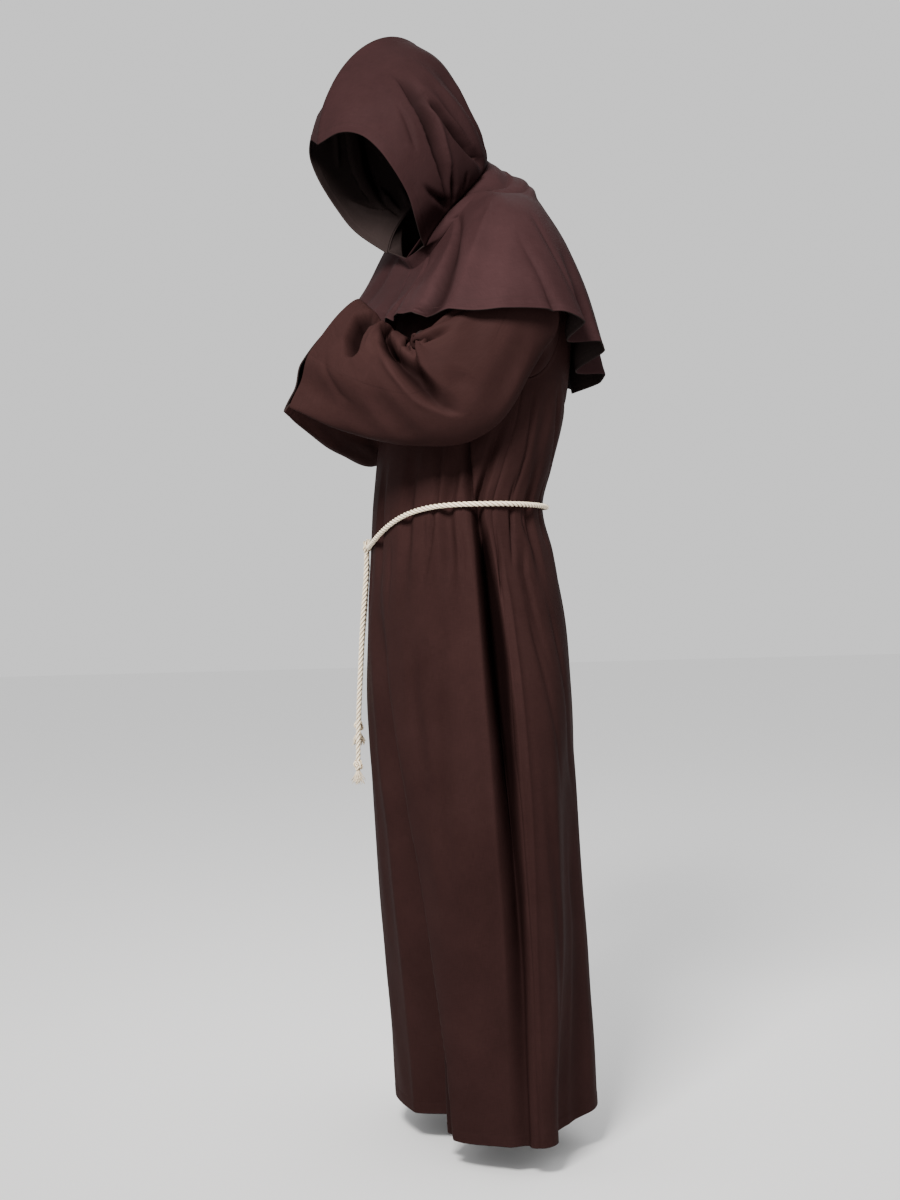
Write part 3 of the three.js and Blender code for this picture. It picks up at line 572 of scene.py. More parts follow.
@dataclass(frozen=True)
class CapeForm:
    """The shoulder cape: rings that leave the hood's lower edge and fall over the shoulders."""

    hood: HoodForm = HoodForm()
    rings: Table = Table(
        ("level", "side", "front", "back", "half", "belly", "spine", "corner", "turn"),
        (
            (0.12, 1479, 1368, 1530, 112, -142, 8, 0, 10),
            (0.28, 1470, 1336, 1498, 164, -158, 36, 0.02, 6),
            (0.45, 1444, 1316, 1450, 216, -172, 61, 0.06, 2),
            (0.62, 1398, 1305, 1382, 258, -184, 93, 0.12, 0),
            (0.8, 1345, 1295, 1298, 288, -194, 123, 0.17, 0),
            (1, 1291, 1288, 1185, 305, -200, 151, 0.2, 0),
        ),
    )
    folds: FoldSet = FoldSet(
        (
            fold((31, 0.6, 30, 0), (31, 0.78, 36, 8), (31, 1, 36, 42)),
            fold((56, 0.58, 34, 0), (55, 0.76, 42, 9), (55, 1, 42, 50)),
            fold((84, 0.62, 40, 0), (84, 0.8, 44, 8), (84, 1, 48, 32)),
            fold((118, 0.6, 40, 0), (118, 0.78, 44, 9), (118, 1, 46, 42)),
            fold((150, 0.62, 34, 0), (149, 0.8, 36, 8), (149, 1, 40, 38)),
            fold((25, 0.3, 24, 0), (50, 0.27, 28, -7), (90, 0.25, 30, -10), (130, 0.27, 28, -7),
                 (155, 0.3, 24, 0)),
            fold((-4, 0.4, 40, 0), (-24, 0.7, 44, 7), (-32, 1, 44, 5)),
            fold((-176, 0.4, 40, 0), (-156, 0.7, 44, 7), (-148, 1, 44, 5)),
            fold((-92, 0.2, 40, 0), (-90, 1, 60, 24)),
        ),
        mm_across=4.3,
        mm_along=300.0,
        goes_round=True,
    )
    fine: FoldSet = FoldSet(
        (
            # The deep fold that falls from the neck seam in front of the left shoulder.
            lap((-34, 0.05, 24, 0), (-40, 0.24, 34, 9), (-44, 0.58, 44, 17), (-51, 0.92, 46, 18),
                (-54, 1, 44, 17)),
            crease((-12, 0.3, 24, 0), (-17, 0.42, 30, -4), (-30, 0.64, 34, -6), (-42, 0.97, 30, -4)),
            lap((-66, 0.06, 20, 0), (-70, 0.3, 26, 8), (-73, 0.7, 28, 10), (-74, 1, 26, 10)),
            crease((-158, 0.1, 24, 0), (-150, 0.35, 30, 5), (-140, 0.68, 32, 5), (-134, 0.96, 30, 3)),
            crease((-58, 0.12, 16, 0), (-61, 0.4, 18, -4), (-64, 0.9, 20, -4), (-65, 1, 20, -4)),
            fold((-124, 0.1, 22, 0), (-120, 0.36, 26, 6), (-116, 0.8, 30, 5), (-114, 1, 30, 4)),
            # The dark pocket at the side of the neck, and the folds under the ridge behind it.
            lap((-20, 0.0, 22, 4), (-8, 0.03, 24, 11), (8, 0.08, 24, 9), (34, 0.12, 20, 6),
                (66, 0.12, 18, 3), (96, 0.12, 14, 0)),
            crease((-4, 0.06, 14, 5), (16, 0.17, 18, 9), (40, 0.235, 20, 8), (66, 0.27, 20, 4),
                   (80, 0.28, 16, 0)),
            crease((112, 0.16, 14, 0), (140, 0.16, 16, 4), (168, 0.17, 14, 0)),
            crease((-4, 0.56, 26, 0), (1, 0.8, 30, 5), (4, 1, 30, 8)),
            fold((180, 0.62, 30, 0), (176, 0.8, 34, 4), (174, 1, 34, 6)),
            crease((12, 0.42, 24, 0), (18, 0.64, 28, 4), (22, 0.9, 26, 2)),
            crease((164, 0.4, 30, 0), (158, 0.62, 32, 3), (154, 0.84, 30, 0)),
        ),
        mm_across=4.3,
        mm_along=300.0,
        goes_round=True,
    )
    throat_at: float = -50.0
    throat_ahead: float = 72.0
    throat_height: float = 1384.0
    share_at_side: float = 0.46
    share_for_degree: float = 0.008057
    share_bend: float = 0.00002286

    def first_level(self) -> float:
        """Return the level of the first ring under the neck seam."""
        return float(self.rings.values("level")[0])

    def neck_points(self, side: Side, at: Array) -> Array:
        """Points of the neck seam: the hood's lower edge, closed across the throat.

        Args:
            side: whose half of the cape it is.
            at: degrees round the cape, each on that side.

        Returns:
            Points a seam's gap under the hood.
        """
        turned = at if side is Side.LEFT else 180 - at
        own = turned - 360 * np.round(turned / 360)
        own = np.where(own > 90.0001, own - 360, own) if side is Side.RIGHT else own
        share = self.share_at_side + self.share_for_degree * own - self.share_bend * own * own
        seam = self.hood.base(side, share, 0.0)
        corner = self.hood.base(side, 0.0, 0.0)
        throat = self.hood.head_point(0, self.throat_ahead, self.throat_height)
        down = np.array([0, 0, -NECK_LAP])
        t = np.clip((self.throat_at - own) / (90 + self.throat_at), 0, 1)[..., None]
        front = mix(corner - down, throat, t)
        return np.where((own < self.throat_at)[..., None], front, seam - down)

    def base(self, side: Side, at: Array, level: Array) -> Array:
        """Points of one half of the cape without its folds.

        Args:
            side: which half.
            at: degrees round the cape, negative at the front.
            level: share of the way from the neck seam to the hem.

        Returns:
            Points in mm from the shoulder line.
        """
        at, level = np.broadcast_arrays(at.astype(float), level.astype(float))
        first = self.first_level()
        value = self.rings.at(np.maximum(level, first))
        c, s = np.cos(np.radians(at)), np.sin(np.radians(at))
        corner = np.where(s < 0, 1 + value("corner") * np.sin(2 * np.radians(at)) ** 2, 1)
        middle, deep, height = oval(value, c, s)
        turn = np.radians(value("turn"))
        x, y = value("half") * c * corner, deep * s * corner
        ring = stacked(
            x * np.cos(turn) - y * np.sin(turn),
            middle + x * np.sin(turn) + y * np.cos(turn),
            height - SHOULDER_HEIGHT,
        )
        share = np.clip(level / first, 0, 1)[..., None]
        return mix(self.neck_points(side, at), ring, share)


@dataclass(frozen=True)
class SleeveForm:
    """A sleeve: sections from the armhole to the cuff, pinched at the elbow side."""

    side: Side
    sections: Table
    folds: FoldSet = FoldSet(
        (
            fold((100, 0.66, 30, 10), (62, 0.69, 32, 16), (24, 0.68, 32, 12), (-24, 0.62, 32, 0)),
            fold((130, 0.53, 34, 0), (92, 0.52, 36, 8), (48, 0.47, 36, 0)),
            fold((190, 0.3, 30, 0), (200, 0.6, 30, 10), (205, 0.9, 28, 6), (205, 1, 28, 4)),
        ),
        mm_across=1.25,
        mm_along=560.0,
        goes_round=True,
    )
    fine: FoldSet = FoldSet(
        (
            # Two hollows on the forearm, with a ridge between them.
            fold((104, 0.9, 17, 24), (80, 0.91, 19, 38), (58, 0.925, 20, 44), (40, 0.915, 19, 40),
                 (26, 0.895, 16, 24), (17, 0.88, 12, 0)),
            fold((112, 0.885, 11, 12), (92, 0.895, 11, 20), (72, 0.905, 10, 16), (58, 0.91, 8, 0)),
            crease((80, 0.872, 10, -5), (50, 0.86, 11, -8), (26, 0.852, 12, 0)),
            fold((104, 0.835, 14, 18), (72, 0.838, 15, 28), (54, 0.812, 14, 26), (40, 0.78, 12, 12)),
            # The long crease from the crook to the elbow, lapped by the forearm's cloth.
            lap((-32, 0.575, 24, 0), (-20, 0.61, 34, 9), (-5, 0.655, 40, 20), (10, 0.69, 42, 25),
                (30, 0.745, 38, 26), (48, 0.8, 28, 20)),
            crease((-24, 0.635, 12, 0), (-8, 0.68, 13, -4), (8, 0.715, 13, -5), (26, 0.77, 13, -5),
                   (38, 0.81, 12, 0)),
            # Short sharp folds that fan out of the crook of the arm.
            crease((108, 0.72, 14, 14), (78, 0.725, 14, 20), (60, 0.745, 12, 9), (50, 0.755, 10, 0)),
            crease((106, 0.66, 11, -6), (76, 0.685, 11, -9), (58, 0.7, 10, -2), (46, 0.71, 8, 0)),
            crease((106, 0.62, 14, 14), (78, 0.635, 15, 22), (60, 0.66, 13, 13), (46, 0.68, 10, 0)),
            lap((44, 0.35, 18, 0), (52, 0.43, 26, 10), (62, 0.51, 28, 18), (76, 0.59, 24, 18),
                (96, 0.62, 18, 10)),
            crease((110, 0.4, 18, 5), (86, 0.36, 20, 8), (60, 0.3, 22, 6), (36, 0.26, 18, 0)),
            # Kinks and drag lines of the forearm.
            crease((14, 0.97, 12, 0), (-6, 0.935, 13, 3.5), (-22, 0.88, 14, 3), (-30, 0.83, 12, 0)),
            crease((-10, 0.92, 12, 0), (-34, 0.935, 14, 2), (-50, 0.945, 12, 0)),
            fold((6, 0.82, 20, 0), (-16, 0.77, 24, 5), (-44, 0.72, 26, 3), (-60, 0.68, 24, 0)),
            fold((-20, 0.86, 22, 0), (-44, 0.82, 26, 4), (-70, 0.78, 28, 0)),
            fold((22, 0.54, 22, 0), (0, 0.52, 26, 4), (-30, 0.5, 28, 0)),
            # Folds that hang from the shoulder's point.
            fold((30, 0.2, 24, 0), (20, 0.36, 26, 4), (0, 0.5, 26, 0)),
            fold((-30, 0.22, 24, 0), (-34, 0.4, 28, 4), (-40, 0.56, 28, 0)),
            fold((150, 0.3, 22, 0), (154, 0.55, 24, 5), (160, 0.8, 26, 4), (164, 1, 26, 2)),
            fold((250, 0.5, 24, 0), (246, 0.75, 28, 5), (244, 1, 30, 4)),
        ),
        mm_across=1.25,
        mm_along=560.0,
        goes_round=True,
    )
    set_out: float = 60.0
    pinch_steepness: float = 1.6

    def base(self, hole: Array, at: Array, along: Array) -> Array:
        """Points of the sleeve without its folds.

        Args:
            hole: the armhole's points, one for each column.
            at: degrees round the sleeve.
            along: share of its length.

        Returns:
            Points in mm from the shoulder line.
        """
        at, along = np.broadcast_arrays(at.astype(float), along.astype(float))
        first = float(self.sections.values("along")[0])
        value = self.sections.at(np.maximum(along, first))
        c, s = np.cos(np.radians(at)), np.sin(np.radians(at))
        wide = c * (1 - value("pinch") * smooth(np.clip(-self.pinch_steepness * s, 0, 1)))
        free = stacked(
            value("x") + value("crookX") * s + value("outerX") * wide,
            value("y") + value("crookY") * s + value("outerY") * wide,
            value("height") + value("crookZ") * s + value("outerZ") * wide - SHOULDER_HEIGHT,
        )
        t = np.clip(along / first, 0, 1)
        start = np.broadcast_to(hole[None], free.shape).copy()
        start[..., 0] += self.side.value * self.set_out * t * (1 - t)
        return mix(start, free, smooth(t)[..., None])


SLEEVE_COLUMNS = (
    "along", "x", "y", "height", "crookX", "crookY", "crookZ", "outerX", "outerY", "outerZ", "pinch",
)
LEFT_SLEEVE = SleeveForm(
    Side.LEFT,
    Table(
        SLEEVE_COLUMNS,
        (
            (0.14, 250, -62, 1286, -14, -70, 18, 26, 5, 58, 0),
            (0.32, 247, -104, 1234, -5, -72, 36, 40, 8, 26, 0),
            (0.48, 239, -141, 1190, -4, -66, 60, 45, 2, 8, 0),
            (0.6, 226, -167, 1171, 0, -34, 76, 47, -14, 2, 0),
            (0.73, 188, -202, 1172, 9, -2, 78, 44, -30, 0, 0.1),
            (0.87, 124, -249, 1196, 8, 32, 81, 33, -38, 2, 0.35),
            (1, 59, -293, 1234, -2, 55, 83, 23, -30, 0, 0.6),
        ),
    ),
)
RIGHT_SLEEVE = SleeveForm(
    Side.RIGHT,
    Table(
        SLEEVE_COLUMNS,
        (
            (0.14, -250, -58, 1284, 14, -70, 18, -26, 5, 58, 0),
            (0.32, -247, -98, 1228, 5, -72, 38, -40, 8, 26, 0),
            (0.48, -239, -134, 1180, 4, -62, 66, -45, 2, 8, 0),
            (0.6, -224, -160, 1155, 0, -30, 88, -46, -14, 2, 0),
            (0.73, -186, -192, 1164, -7, 0, 86, -42, -30, 0, 0.1),
            (0.87, -122, -237, 1193, -8, 31, 80, -32, -34, 2, 0.35),
            (1, -58, -271, 1227, 2, 56, 79, -25, -21, 0, 0.65),
        ),
    ),
)


# Shader building


class Value:
    """A socket's number in a shader expression; + - * / add Math nodes."""

    def __init__(self, sheet: "NodeSheet", socket: bpy.types.NodeSocket) -> None:
        """Wrap a socket of a node sheet."""
        self.sheet = sheet
        self.socket = socket

    def _math(self, operation: str, first: "Operand", second: "Operand" = 0.0) -> "Value":
        """Add a Math node and return its result."""
        made = self.sheet.node("ShaderNodeMath", {"operation": operation}, {0: first, 1: second})
        return Value(self.sheet, made.outputs[0])

    def __add__(self, other: "Operand") -> "Value":
        """Return the sum."""
        return self._math("ADD", self, other)

    def __radd__(self, other: "Operand") -> "Value":
        """Return the sum, from the right."""
        return self._math("ADD", other, self)

    def __sub__(self, other: "Operand") -> "Value":
        """Return the difference."""
        return self._math("SUBTRACT", self, other)

    def __rsub__(self, other: "Operand") -> "Value":
        """Return the difference, from the right."""
        return self._math("SUBTRACT", other, self)

    def __mul__(self, other: "Operand") -> "Value":
        """Return the product."""
        return self._math("MULTIPLY", self, other)

    def __rmul__(self, other: "Operand") -> "Value":
        """Return the product, from the right."""
        return self._math("MULTIPLY", other, self)

    def __truediv__(self, other: "Operand") -> "Value":
        """Return the quotient."""
        return self._math("DIVIDE", self, other)

    def sine(self) -> "Value":
        """Return the sine."""
        return self._math("SINE", self)

    def fraction(self) -> "Value":
        """Return the fractional part."""
        return self._math("FRACT", self)

    def below(self, limit: float) -> "Value":
        """Return 1 where the value is below a limit."""
        return self._math("LESS_THAN", self, limit)

    def distance(self, place: float) -> "Value":
        """Return how far the value is from a number."""
        return self._math("ABSOLUTE", self - place)

    def ramp(self, low: float, high: float) -> "Value":
        """Return 0 to 1 as the value goes from low to high, held at the ends."""
        made = self.sheet.node(
            "ShaderNodeMapRange", {"clamp": True}, {"Value": self, "From Min": low, "From Max": high}
        )
        return Value(self.sheet, made.outputs[0])


Operand = Union[Value, float]
Colour = tuple[float, float, float]


class NodeSheet:
    """The node tree of one material."""

    def __init__(self, name: str) -> None:
        """Start a material with an empty tree."""
        self.material = bpy.data.materials.new(name)
        self.material.use_nodes = True
        self.tree = self.material.node_tree
        self.tree.nodes.clear()

    def node(
        self,
        kind: str,
        settings: dict[str, object] | None = None,
        inputs: dict[object, object] | None = None,
    ) -> bpy.types.Node:
        """Add one node.

        Args:
            kind: the node's type.
            settings: its properties, set first.
            inputs: socket name or number to a value, a Value or a socket to link.

        Returns:
            The node.
        """
        made = self.tree.nodes.new(kind)
        for key, value in (settings or {}).items():
            setattr(made, key, value)
        for key, value in (inputs or {}).items():
            if isinstance(value, Value):
                self.tree.links.new(value.socket, made.inputs[key])
            elif isinstance(value, bpy.types.NodeSocket):
                self.tree.links.new(value, made.inputs[key])
            else:
                made.inputs[key].default_value = value
        return made

    def attribute(self, name: str) -> tuple[Value, Value, Value, bpy.types.NodeSocket]:
        """Read a point attribute.

        Args:
            name: the attribute's name.

        Returns:
            Its three numbers and its vector.
        """
        vector = self.node("ShaderNodeAttribute", {"attribute_name": name}).outputs["Vector"]
        split = self.node("ShaderNodeSeparateXYZ", None, {0: vector})
        x, y, z = (Value(self, socket) for socket in split.outputs)
        return x, y, z, vector

    def noise(self, vector: bpy.types.NodeSocket, scale: float, detail: float = 2.0) -> Value:
        """Return a noise's number at a place."""
        inputs = {"Vector": vector, "Scale": scale, "Detail": detail}
        return Value(self, self.node("ShaderNodeTexNoise", None, inputs).outputs[0])

    def scaled(self, vector: bpy.types.NodeSocket, by: Colour) -> bpy.types.NodeSocket:
        """Return a vector multiplied by three numbers."""
        made = self.node("ShaderNodeVectorMath", {"operation": "MULTIPLY"}, {0: vector, 1: by})
        return made.outputs[0]

    def blend(self, factor: Value, low: object, high: object) -> bpy.types.NodeSocket:
        """Blend two colours.

        Args:
            factor: share of the way from low to high.
            low: a colour, or a socket that gives one.
            high: the same.

        Returns:
            The socket of the blended colour.
        """
        made = self.node("ShaderNodeMix", {"data_type": "RGBA"})
        self.tree.links.new(factor.socket, made.inputs[0])
        for socket, colour in ((made.inputs[6], low), (made.inputs[7], high)):
            if isinstance(colour, bpy.types.NodeSocket):
                self.tree.links.new(colour, socket)
            else:
                socket.default_value = (*colour, 1.0)
        return made.outputs[2]

    def finish(
        self,
        colour: bpy.types.NodeSocket,
        roughness: Value,
        height: Value,
        bump: float,
        fixed: dict[str, object],
    ) -> bpy.types.Material:
        """Close the tree with a Principled shader.

        Args:
            colour: the base colour.
            roughness: the roughness.
            height: height of the surface in metres.
            bump: strength of the bump.
            fixed: the shader's other values, the same all over.

        Returns:
            The material.
        """
        relief = {"Height": height, "Strength": bump, "Distance": 1.0}
        normal = self.node("ShaderNodeBump", None, relief).outputs[0]
        return self.shaded({"Base Color": colour, "Roughness": roughness, "Normal": normal, **fixed})

    def shaded(self, inputs: dict[object, object]) -> bpy.types.Material:
        """Add a Principled shader and the output.

        Args:
            inputs: the shader's values and links.

        Returns:
            The material.
        """
        shader = self.node("ShaderNodeBsdfPrincipled", None, inputs)
        self.node("ShaderNodeOutputMaterial", None, {"Surface": shader.outputs[0]})
        return self.material


@dataclass(frozen=True)
class HabitCloth:
    """Fine matt brown suiting: a close twill with faint slubs, and painted shade that darkens its deep
    folds; lengths are metres.
    """

    name: str
    dark: Colour
    light: Colour
    thread: Colour
    roughness: float = 0.56
    gloss: float = 0.006
    relief: float = 0.5
    twill_pitch: float = 0.0011
    twill_slant: float = 0.9
    warp_slubs: Colour = (1500.0, 60.0, 1.0)
    weft_slubs: Colour = (70.0, 1300.0, 1.0)
    crumple_scale: Colour = (26.0, 17.0, 1.0)
    patch_scale: float = 9.0
    stitch_at: float = 0.017
    stitch_half_width: float = 0.00055
    stitch_length: float = 0.0034
    stitch_share: float = 0.72
    worn_width: float = 0.0035
    # Painted shade in deep folds: the fold depths in metres where it starts and where it is full, its
    # strength and its near-black colour.
    fold_shade_from: float = 0.003
    fold_shade_to: float = 0.019
    fold_shade: float = 0.72
    fold_shade_colour: Colour = (0.004, 0.002, 0.002)
    tone_level: float = 0.44
    thread_tone: float = 0.9
    patch_tone: float = 0.7
    twill_tone: float = 0.12
    wear: float = 0.35
    stitch_cover: float = 0.8
    twill_height: float = 0.00006
    thread_height: float = 0.0001
    crumple_height: float = 0.0011
    stitch_height: float = 0.0003

    def material(self) -> bpy.types.Material:
        """Build the cloth's material.

        Returns:
            The material, which reads the cloth_at, stitch_at and fold depth of the mesh, and darkens
            deep folds with painted shade.
        """
        sheet = NodeSheet(self.name)
        u, v, _, cloth = sheet.attribute("cloth_at")
        along, edge, stitched, _ = sheet.attribute("stitch_at")
        turn = 2 * math.pi / self.twill_pitch
        twill = ((u + v * self.twill_slant) * turn).sine() * 0.5 + 0.5
        warp = sheet.noise(sheet.scaled(cloth, self.warp_slubs), 1.0) * 0.5
        threads = warp + sheet.noise(sheet.scaled(cloth, self.weft_slubs), 1.0) * 0.5
        patches = sheet.noise(cloth, self.patch_scale, 3.0)
        crumple = sheet.noise(sheet.scaled(cloth, self.crumple_scale), 1.0, 3.0)
        tone = (threads - 0.5) * self.thread_tone + (patches - 0.5) * self.patch_tone
        tone = tone + twill * self.twill_tone + self.tone_level
        # Painted shade: the base colour darkens towards a near-black with the depth of the fine folds.
        fold_depth_for_shade = sheet.attribute("fold_shade_depth")[0]
        even = sheet.blend(tone.ramp(0.0, 1.0), self.dark, self.light)
        shade = fold_depth_for_shade.ramp(self.fold_shade_from, self.fold_shade_to) * self.fold_shade
        fold_shaded = sheet.blend(shade, even, self.fold_shade_colour)
        row = edge.distance(self.stitch_at).below(self.stitch_half_width) * stitched
        stitch = row * (along / self.stitch_length).fraction().below(self.stitch_share)
        gap = row - stitch
        worn = (1 - edge.ramp(0.0, self.worn_width)) * stitched
        lit = sheet.blend(worn * self.wear, fold_shaded, self.light)
        sewn = sheet.blend(stitch * self.stitch_cover, lit, self.thread)
        weave = twill * self.twill_height + threads * self.thread_height + crumple * self.crumple_height
        height = weave + stitch * self.stitch_height - gap * self.stitch_height
        roughness = patches * 0.12 + (threads * 0.1) + (self.roughness - 0.11)
        return sheet.finish(sewn, roughness, height, self.relief, {"Specular IOR Level": self.gloss})


@dataclass(frozen=True)
class RopeCotton:
    """Natural cotton yarns laid up into a cream cord, with painted shade in the grooves between its
    strands.
    """

    name: str
    dark: Colour = (0.3, 0.185, 0.09)
    light: Colour = (0.99, 0.86, 0.65)
    roughness: float = 0.82
    relief: float = 0.7
    yarns: float = 7.0
    yarn_turn: float = 900.0
    fuzz_scale: Colour = (420.0, 14.0, 1.0)
    dirt_scale: Colour = (9.0, 0.4, 1.0)
    yarn_tone: float = 0.16
    fuzz_tone: float = 0.4
    dirt_tone: float = 0.2
    groove_shade_tone: float = 0.9
    yarn_height: float = 0.00022
    fuzz_height: float = 0.00018

    def material(self) -> bpy.types.Material:
        """Build the cord's material.

        Returns:
            The material, which reads the strand_at of the mesh.
        """
        sheet = NodeSheet(self.name)
        along, around, groove_shade_mask, place = sheet.attribute("strand_at")
        turned = around * (2 * math.pi * self.yarns) + along * self.yarn_turn
        yarn = turned.sine() * 0.5 + 0.5
        fuzz = sheet.noise(sheet.scaled(place, self.fuzz_scale), 1.0)
        dirt = sheet.noise(sheet.scaled(place, self.dirt_scale), 1.0)
        tone = yarn * self.yarn_tone + (fuzz - 0.5) * self.fuzz_tone
        # Dirt tone at random, and painted shade that darkens the grooves between the strands towards the
        # dark tone.
        tone = tone + (dirt - 0.5) * self.dirt_tone + groove_shade_mask * self.groove_shade_tone
        colour = sheet.blend(tone.ramp(0.0, 1.0), self.dark, self.light)
        height = yarn * self.yarn_height + fuzz * self.fuzz_height
        return sheet.finish(
            colour,
            fuzz * 0.12 + (self.roughness - 0.06),
            height,
            self.relief,
            {"Sheen Weight": 0.25, "Sheen Roughness": 0.5, "Specular IOR Level": 0.25},
        )


@dataclass(frozen=True)
class StudioFloor:
    """Matte white paper."""

    name: str = "floor_paper"
    colour: Colour = (0.9, 0.9, 0.9)
    roughness: float = 0.9

    def material(self) -> bpy.types.Material:
        """Build the floor's material."""
        inputs = {"Base Color": (*self.colour, 1.0), "Roughness": self.roughness}
        return NodeSheet(self.name).shaded(inputs)


# Mesh building


def mesh_object(
    name: str,
    points: Array,
    faces: Array,
    materials: Sequence[bpy.types.Material],
    slots: Array | None = None,
    attributes: dict[str, Array] | None = None,
) -> bpy.types.Object:
    """Make a smooth mesh object and link it to the scene.

    Args:
        name: the object's name.
        points: vertices in mm.
        faces: quads as rows of vertex numbers.
        materials: the materials in slot order.
        slots: each face's slot number.
        attributes: vectors for each vertex, by name.

    Returns:
        The object, in metres.
    """
    mesh = bpy.data.meshes.new(name)
    mesh.vertices.add(len(points))
    mesh.vertices.foreach_set("co", (points * MM).astype(np.float32).ravel())
    sides = faces.shape[1]
    mesh.loops.add(faces.size)
    mesh.loops.foreach_set("vertex_index", faces.astype(np.int32).ravel())
    mesh.polygons.add(len(faces))
    mesh.polygons.foreach_set("loop_start", np.arange(0, faces.size, sides, dtype=np.int32))
    mesh.polygons.foreach_set("use_smooth", np.ones(len(faces), dtype=bool))
    for material in materials:
        mesh.materials.append(material)
    if slots is not None:
        mesh.polygons.foreach_set("material_index", slots.astype(np.int32))
    for key, values in (attributes or {}).items():
        layer = mesh.attributes.new(key, "FLOAT_VECTOR", "POINT")
        layer.data.foreach_set("vector", values.astype(np.float32).ravel())
    mesh.update(calc_edges=True)
    mesh.validate()
    made = bpy.data.objects.new(name, mesh)
    bpy.context.scene.collection.objects.link(made)
    return made


def grid_quads(rows: int, cols: int, goes_round: bool) -> Array:
    """Quads of a grid of points.

    Args:
        rows: number of rows.
        cols: number of columns.
        goes_round: whether the last column meets the first.

    Returns:
        Rows of four vertex numbers.
    """
    i, j = np.meshgrid(np.arange(rows - 1), np.arange(cols if goes_round else cols - 1), indexing="ij")
    nxt = (j + 1) % cols
    corners = (i * cols + j, i * cols + nxt, (i + 1) * cols + nxt, (i + 1) * cols + j)
    return np.stack(corners, axis=-1).reshape(-1, 4)


def run_along(line: Array) -> Array:
    """Length along a line of points at each of them."""
    return np.concatenate([[0], np.cumsum(np.linalg.norm(np.diff(line, axis=0), axis=1))])


def interpolated(at: Array, run: Array, line: Array) -> Array:
    """Points of a line at some lengths along it."""
    return np.stack([np.interp(at, run, line[:, k]) for k in range(3)], axis=-1)


def bell(distance: Array, place: float, width: float) -> Array:
    """A rise of height one around a place, that fades over a width."""
    return np.exp(-(((distance - place) / width) ** 2))


def fitted(piece: bpy.types.Object, slot: str, *nodes: str) -> bpy.types.Object:
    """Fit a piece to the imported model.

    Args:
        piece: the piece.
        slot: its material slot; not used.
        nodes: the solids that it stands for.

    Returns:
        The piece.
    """
    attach(piece, BODY)
    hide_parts(*nodes)
    size = piece.dimensions
    LOG.info("%s: %d faces, %.3f x %.3f x %.3f m", piece.name, len(piece.data.polygons), *size)
    return piece


@dataclass(frozen=True)
class Drape:
    """Faint irregular waves that run mostly down the cloth, the same for all pieces."""

    seed: int = 11
    count: int = 26
    height: float = 0.75
    shortest: float = 45.0
    longest: float = 190.0
    usual: float = 110.0
    slant: float = 0.28

    def offset(self, points: Array) -> Array:
        """Work out the waves.

        Args:
            points: the cloth's points in mm.

        Returns:
            How far each of them stands out, in mm.
        """
        chance = np.random.default_rng(self.seed)
        total = np.zeros(points.shape[:-1])
        for _ in range(self.count):
            length = chance.uniform(self.shortest, self.longest)
            heading = chance.uniform(0, 2 * math.pi)
            wave = np.array([math.cos(heading), math.sin(heading), chance.normal(0, self.slant)])
            phase = chance.uniform(0, 2 * math.pi)
            total += (length / self.usual) * np.sin(points @ (wave * 2 * math.pi / length) + phase)
        return total * self.height / math.sqrt(self.count / 2)


@dataclass(frozen=True)
class EdgeShape:
    """What sewing does to an edge of the cloth: heights, places and widths in mm."""

    swell: float = 0.4
    swell_at: float = 7.0
    swell_width: float = 5.0
    dip_width: float = 2.4
    hem_rise: float = 0.45
    hem_slope: float = 2.5
    row_sink: float = 0.35
    row_width: float = 1.4
    pucker: float = 0.3
    pucker_width: float = 6.0
    pucker_length: float = 6.1
    pucker_group: float = 17.3
    calm_width: float = 14.0
    no_hem: float = 900.0


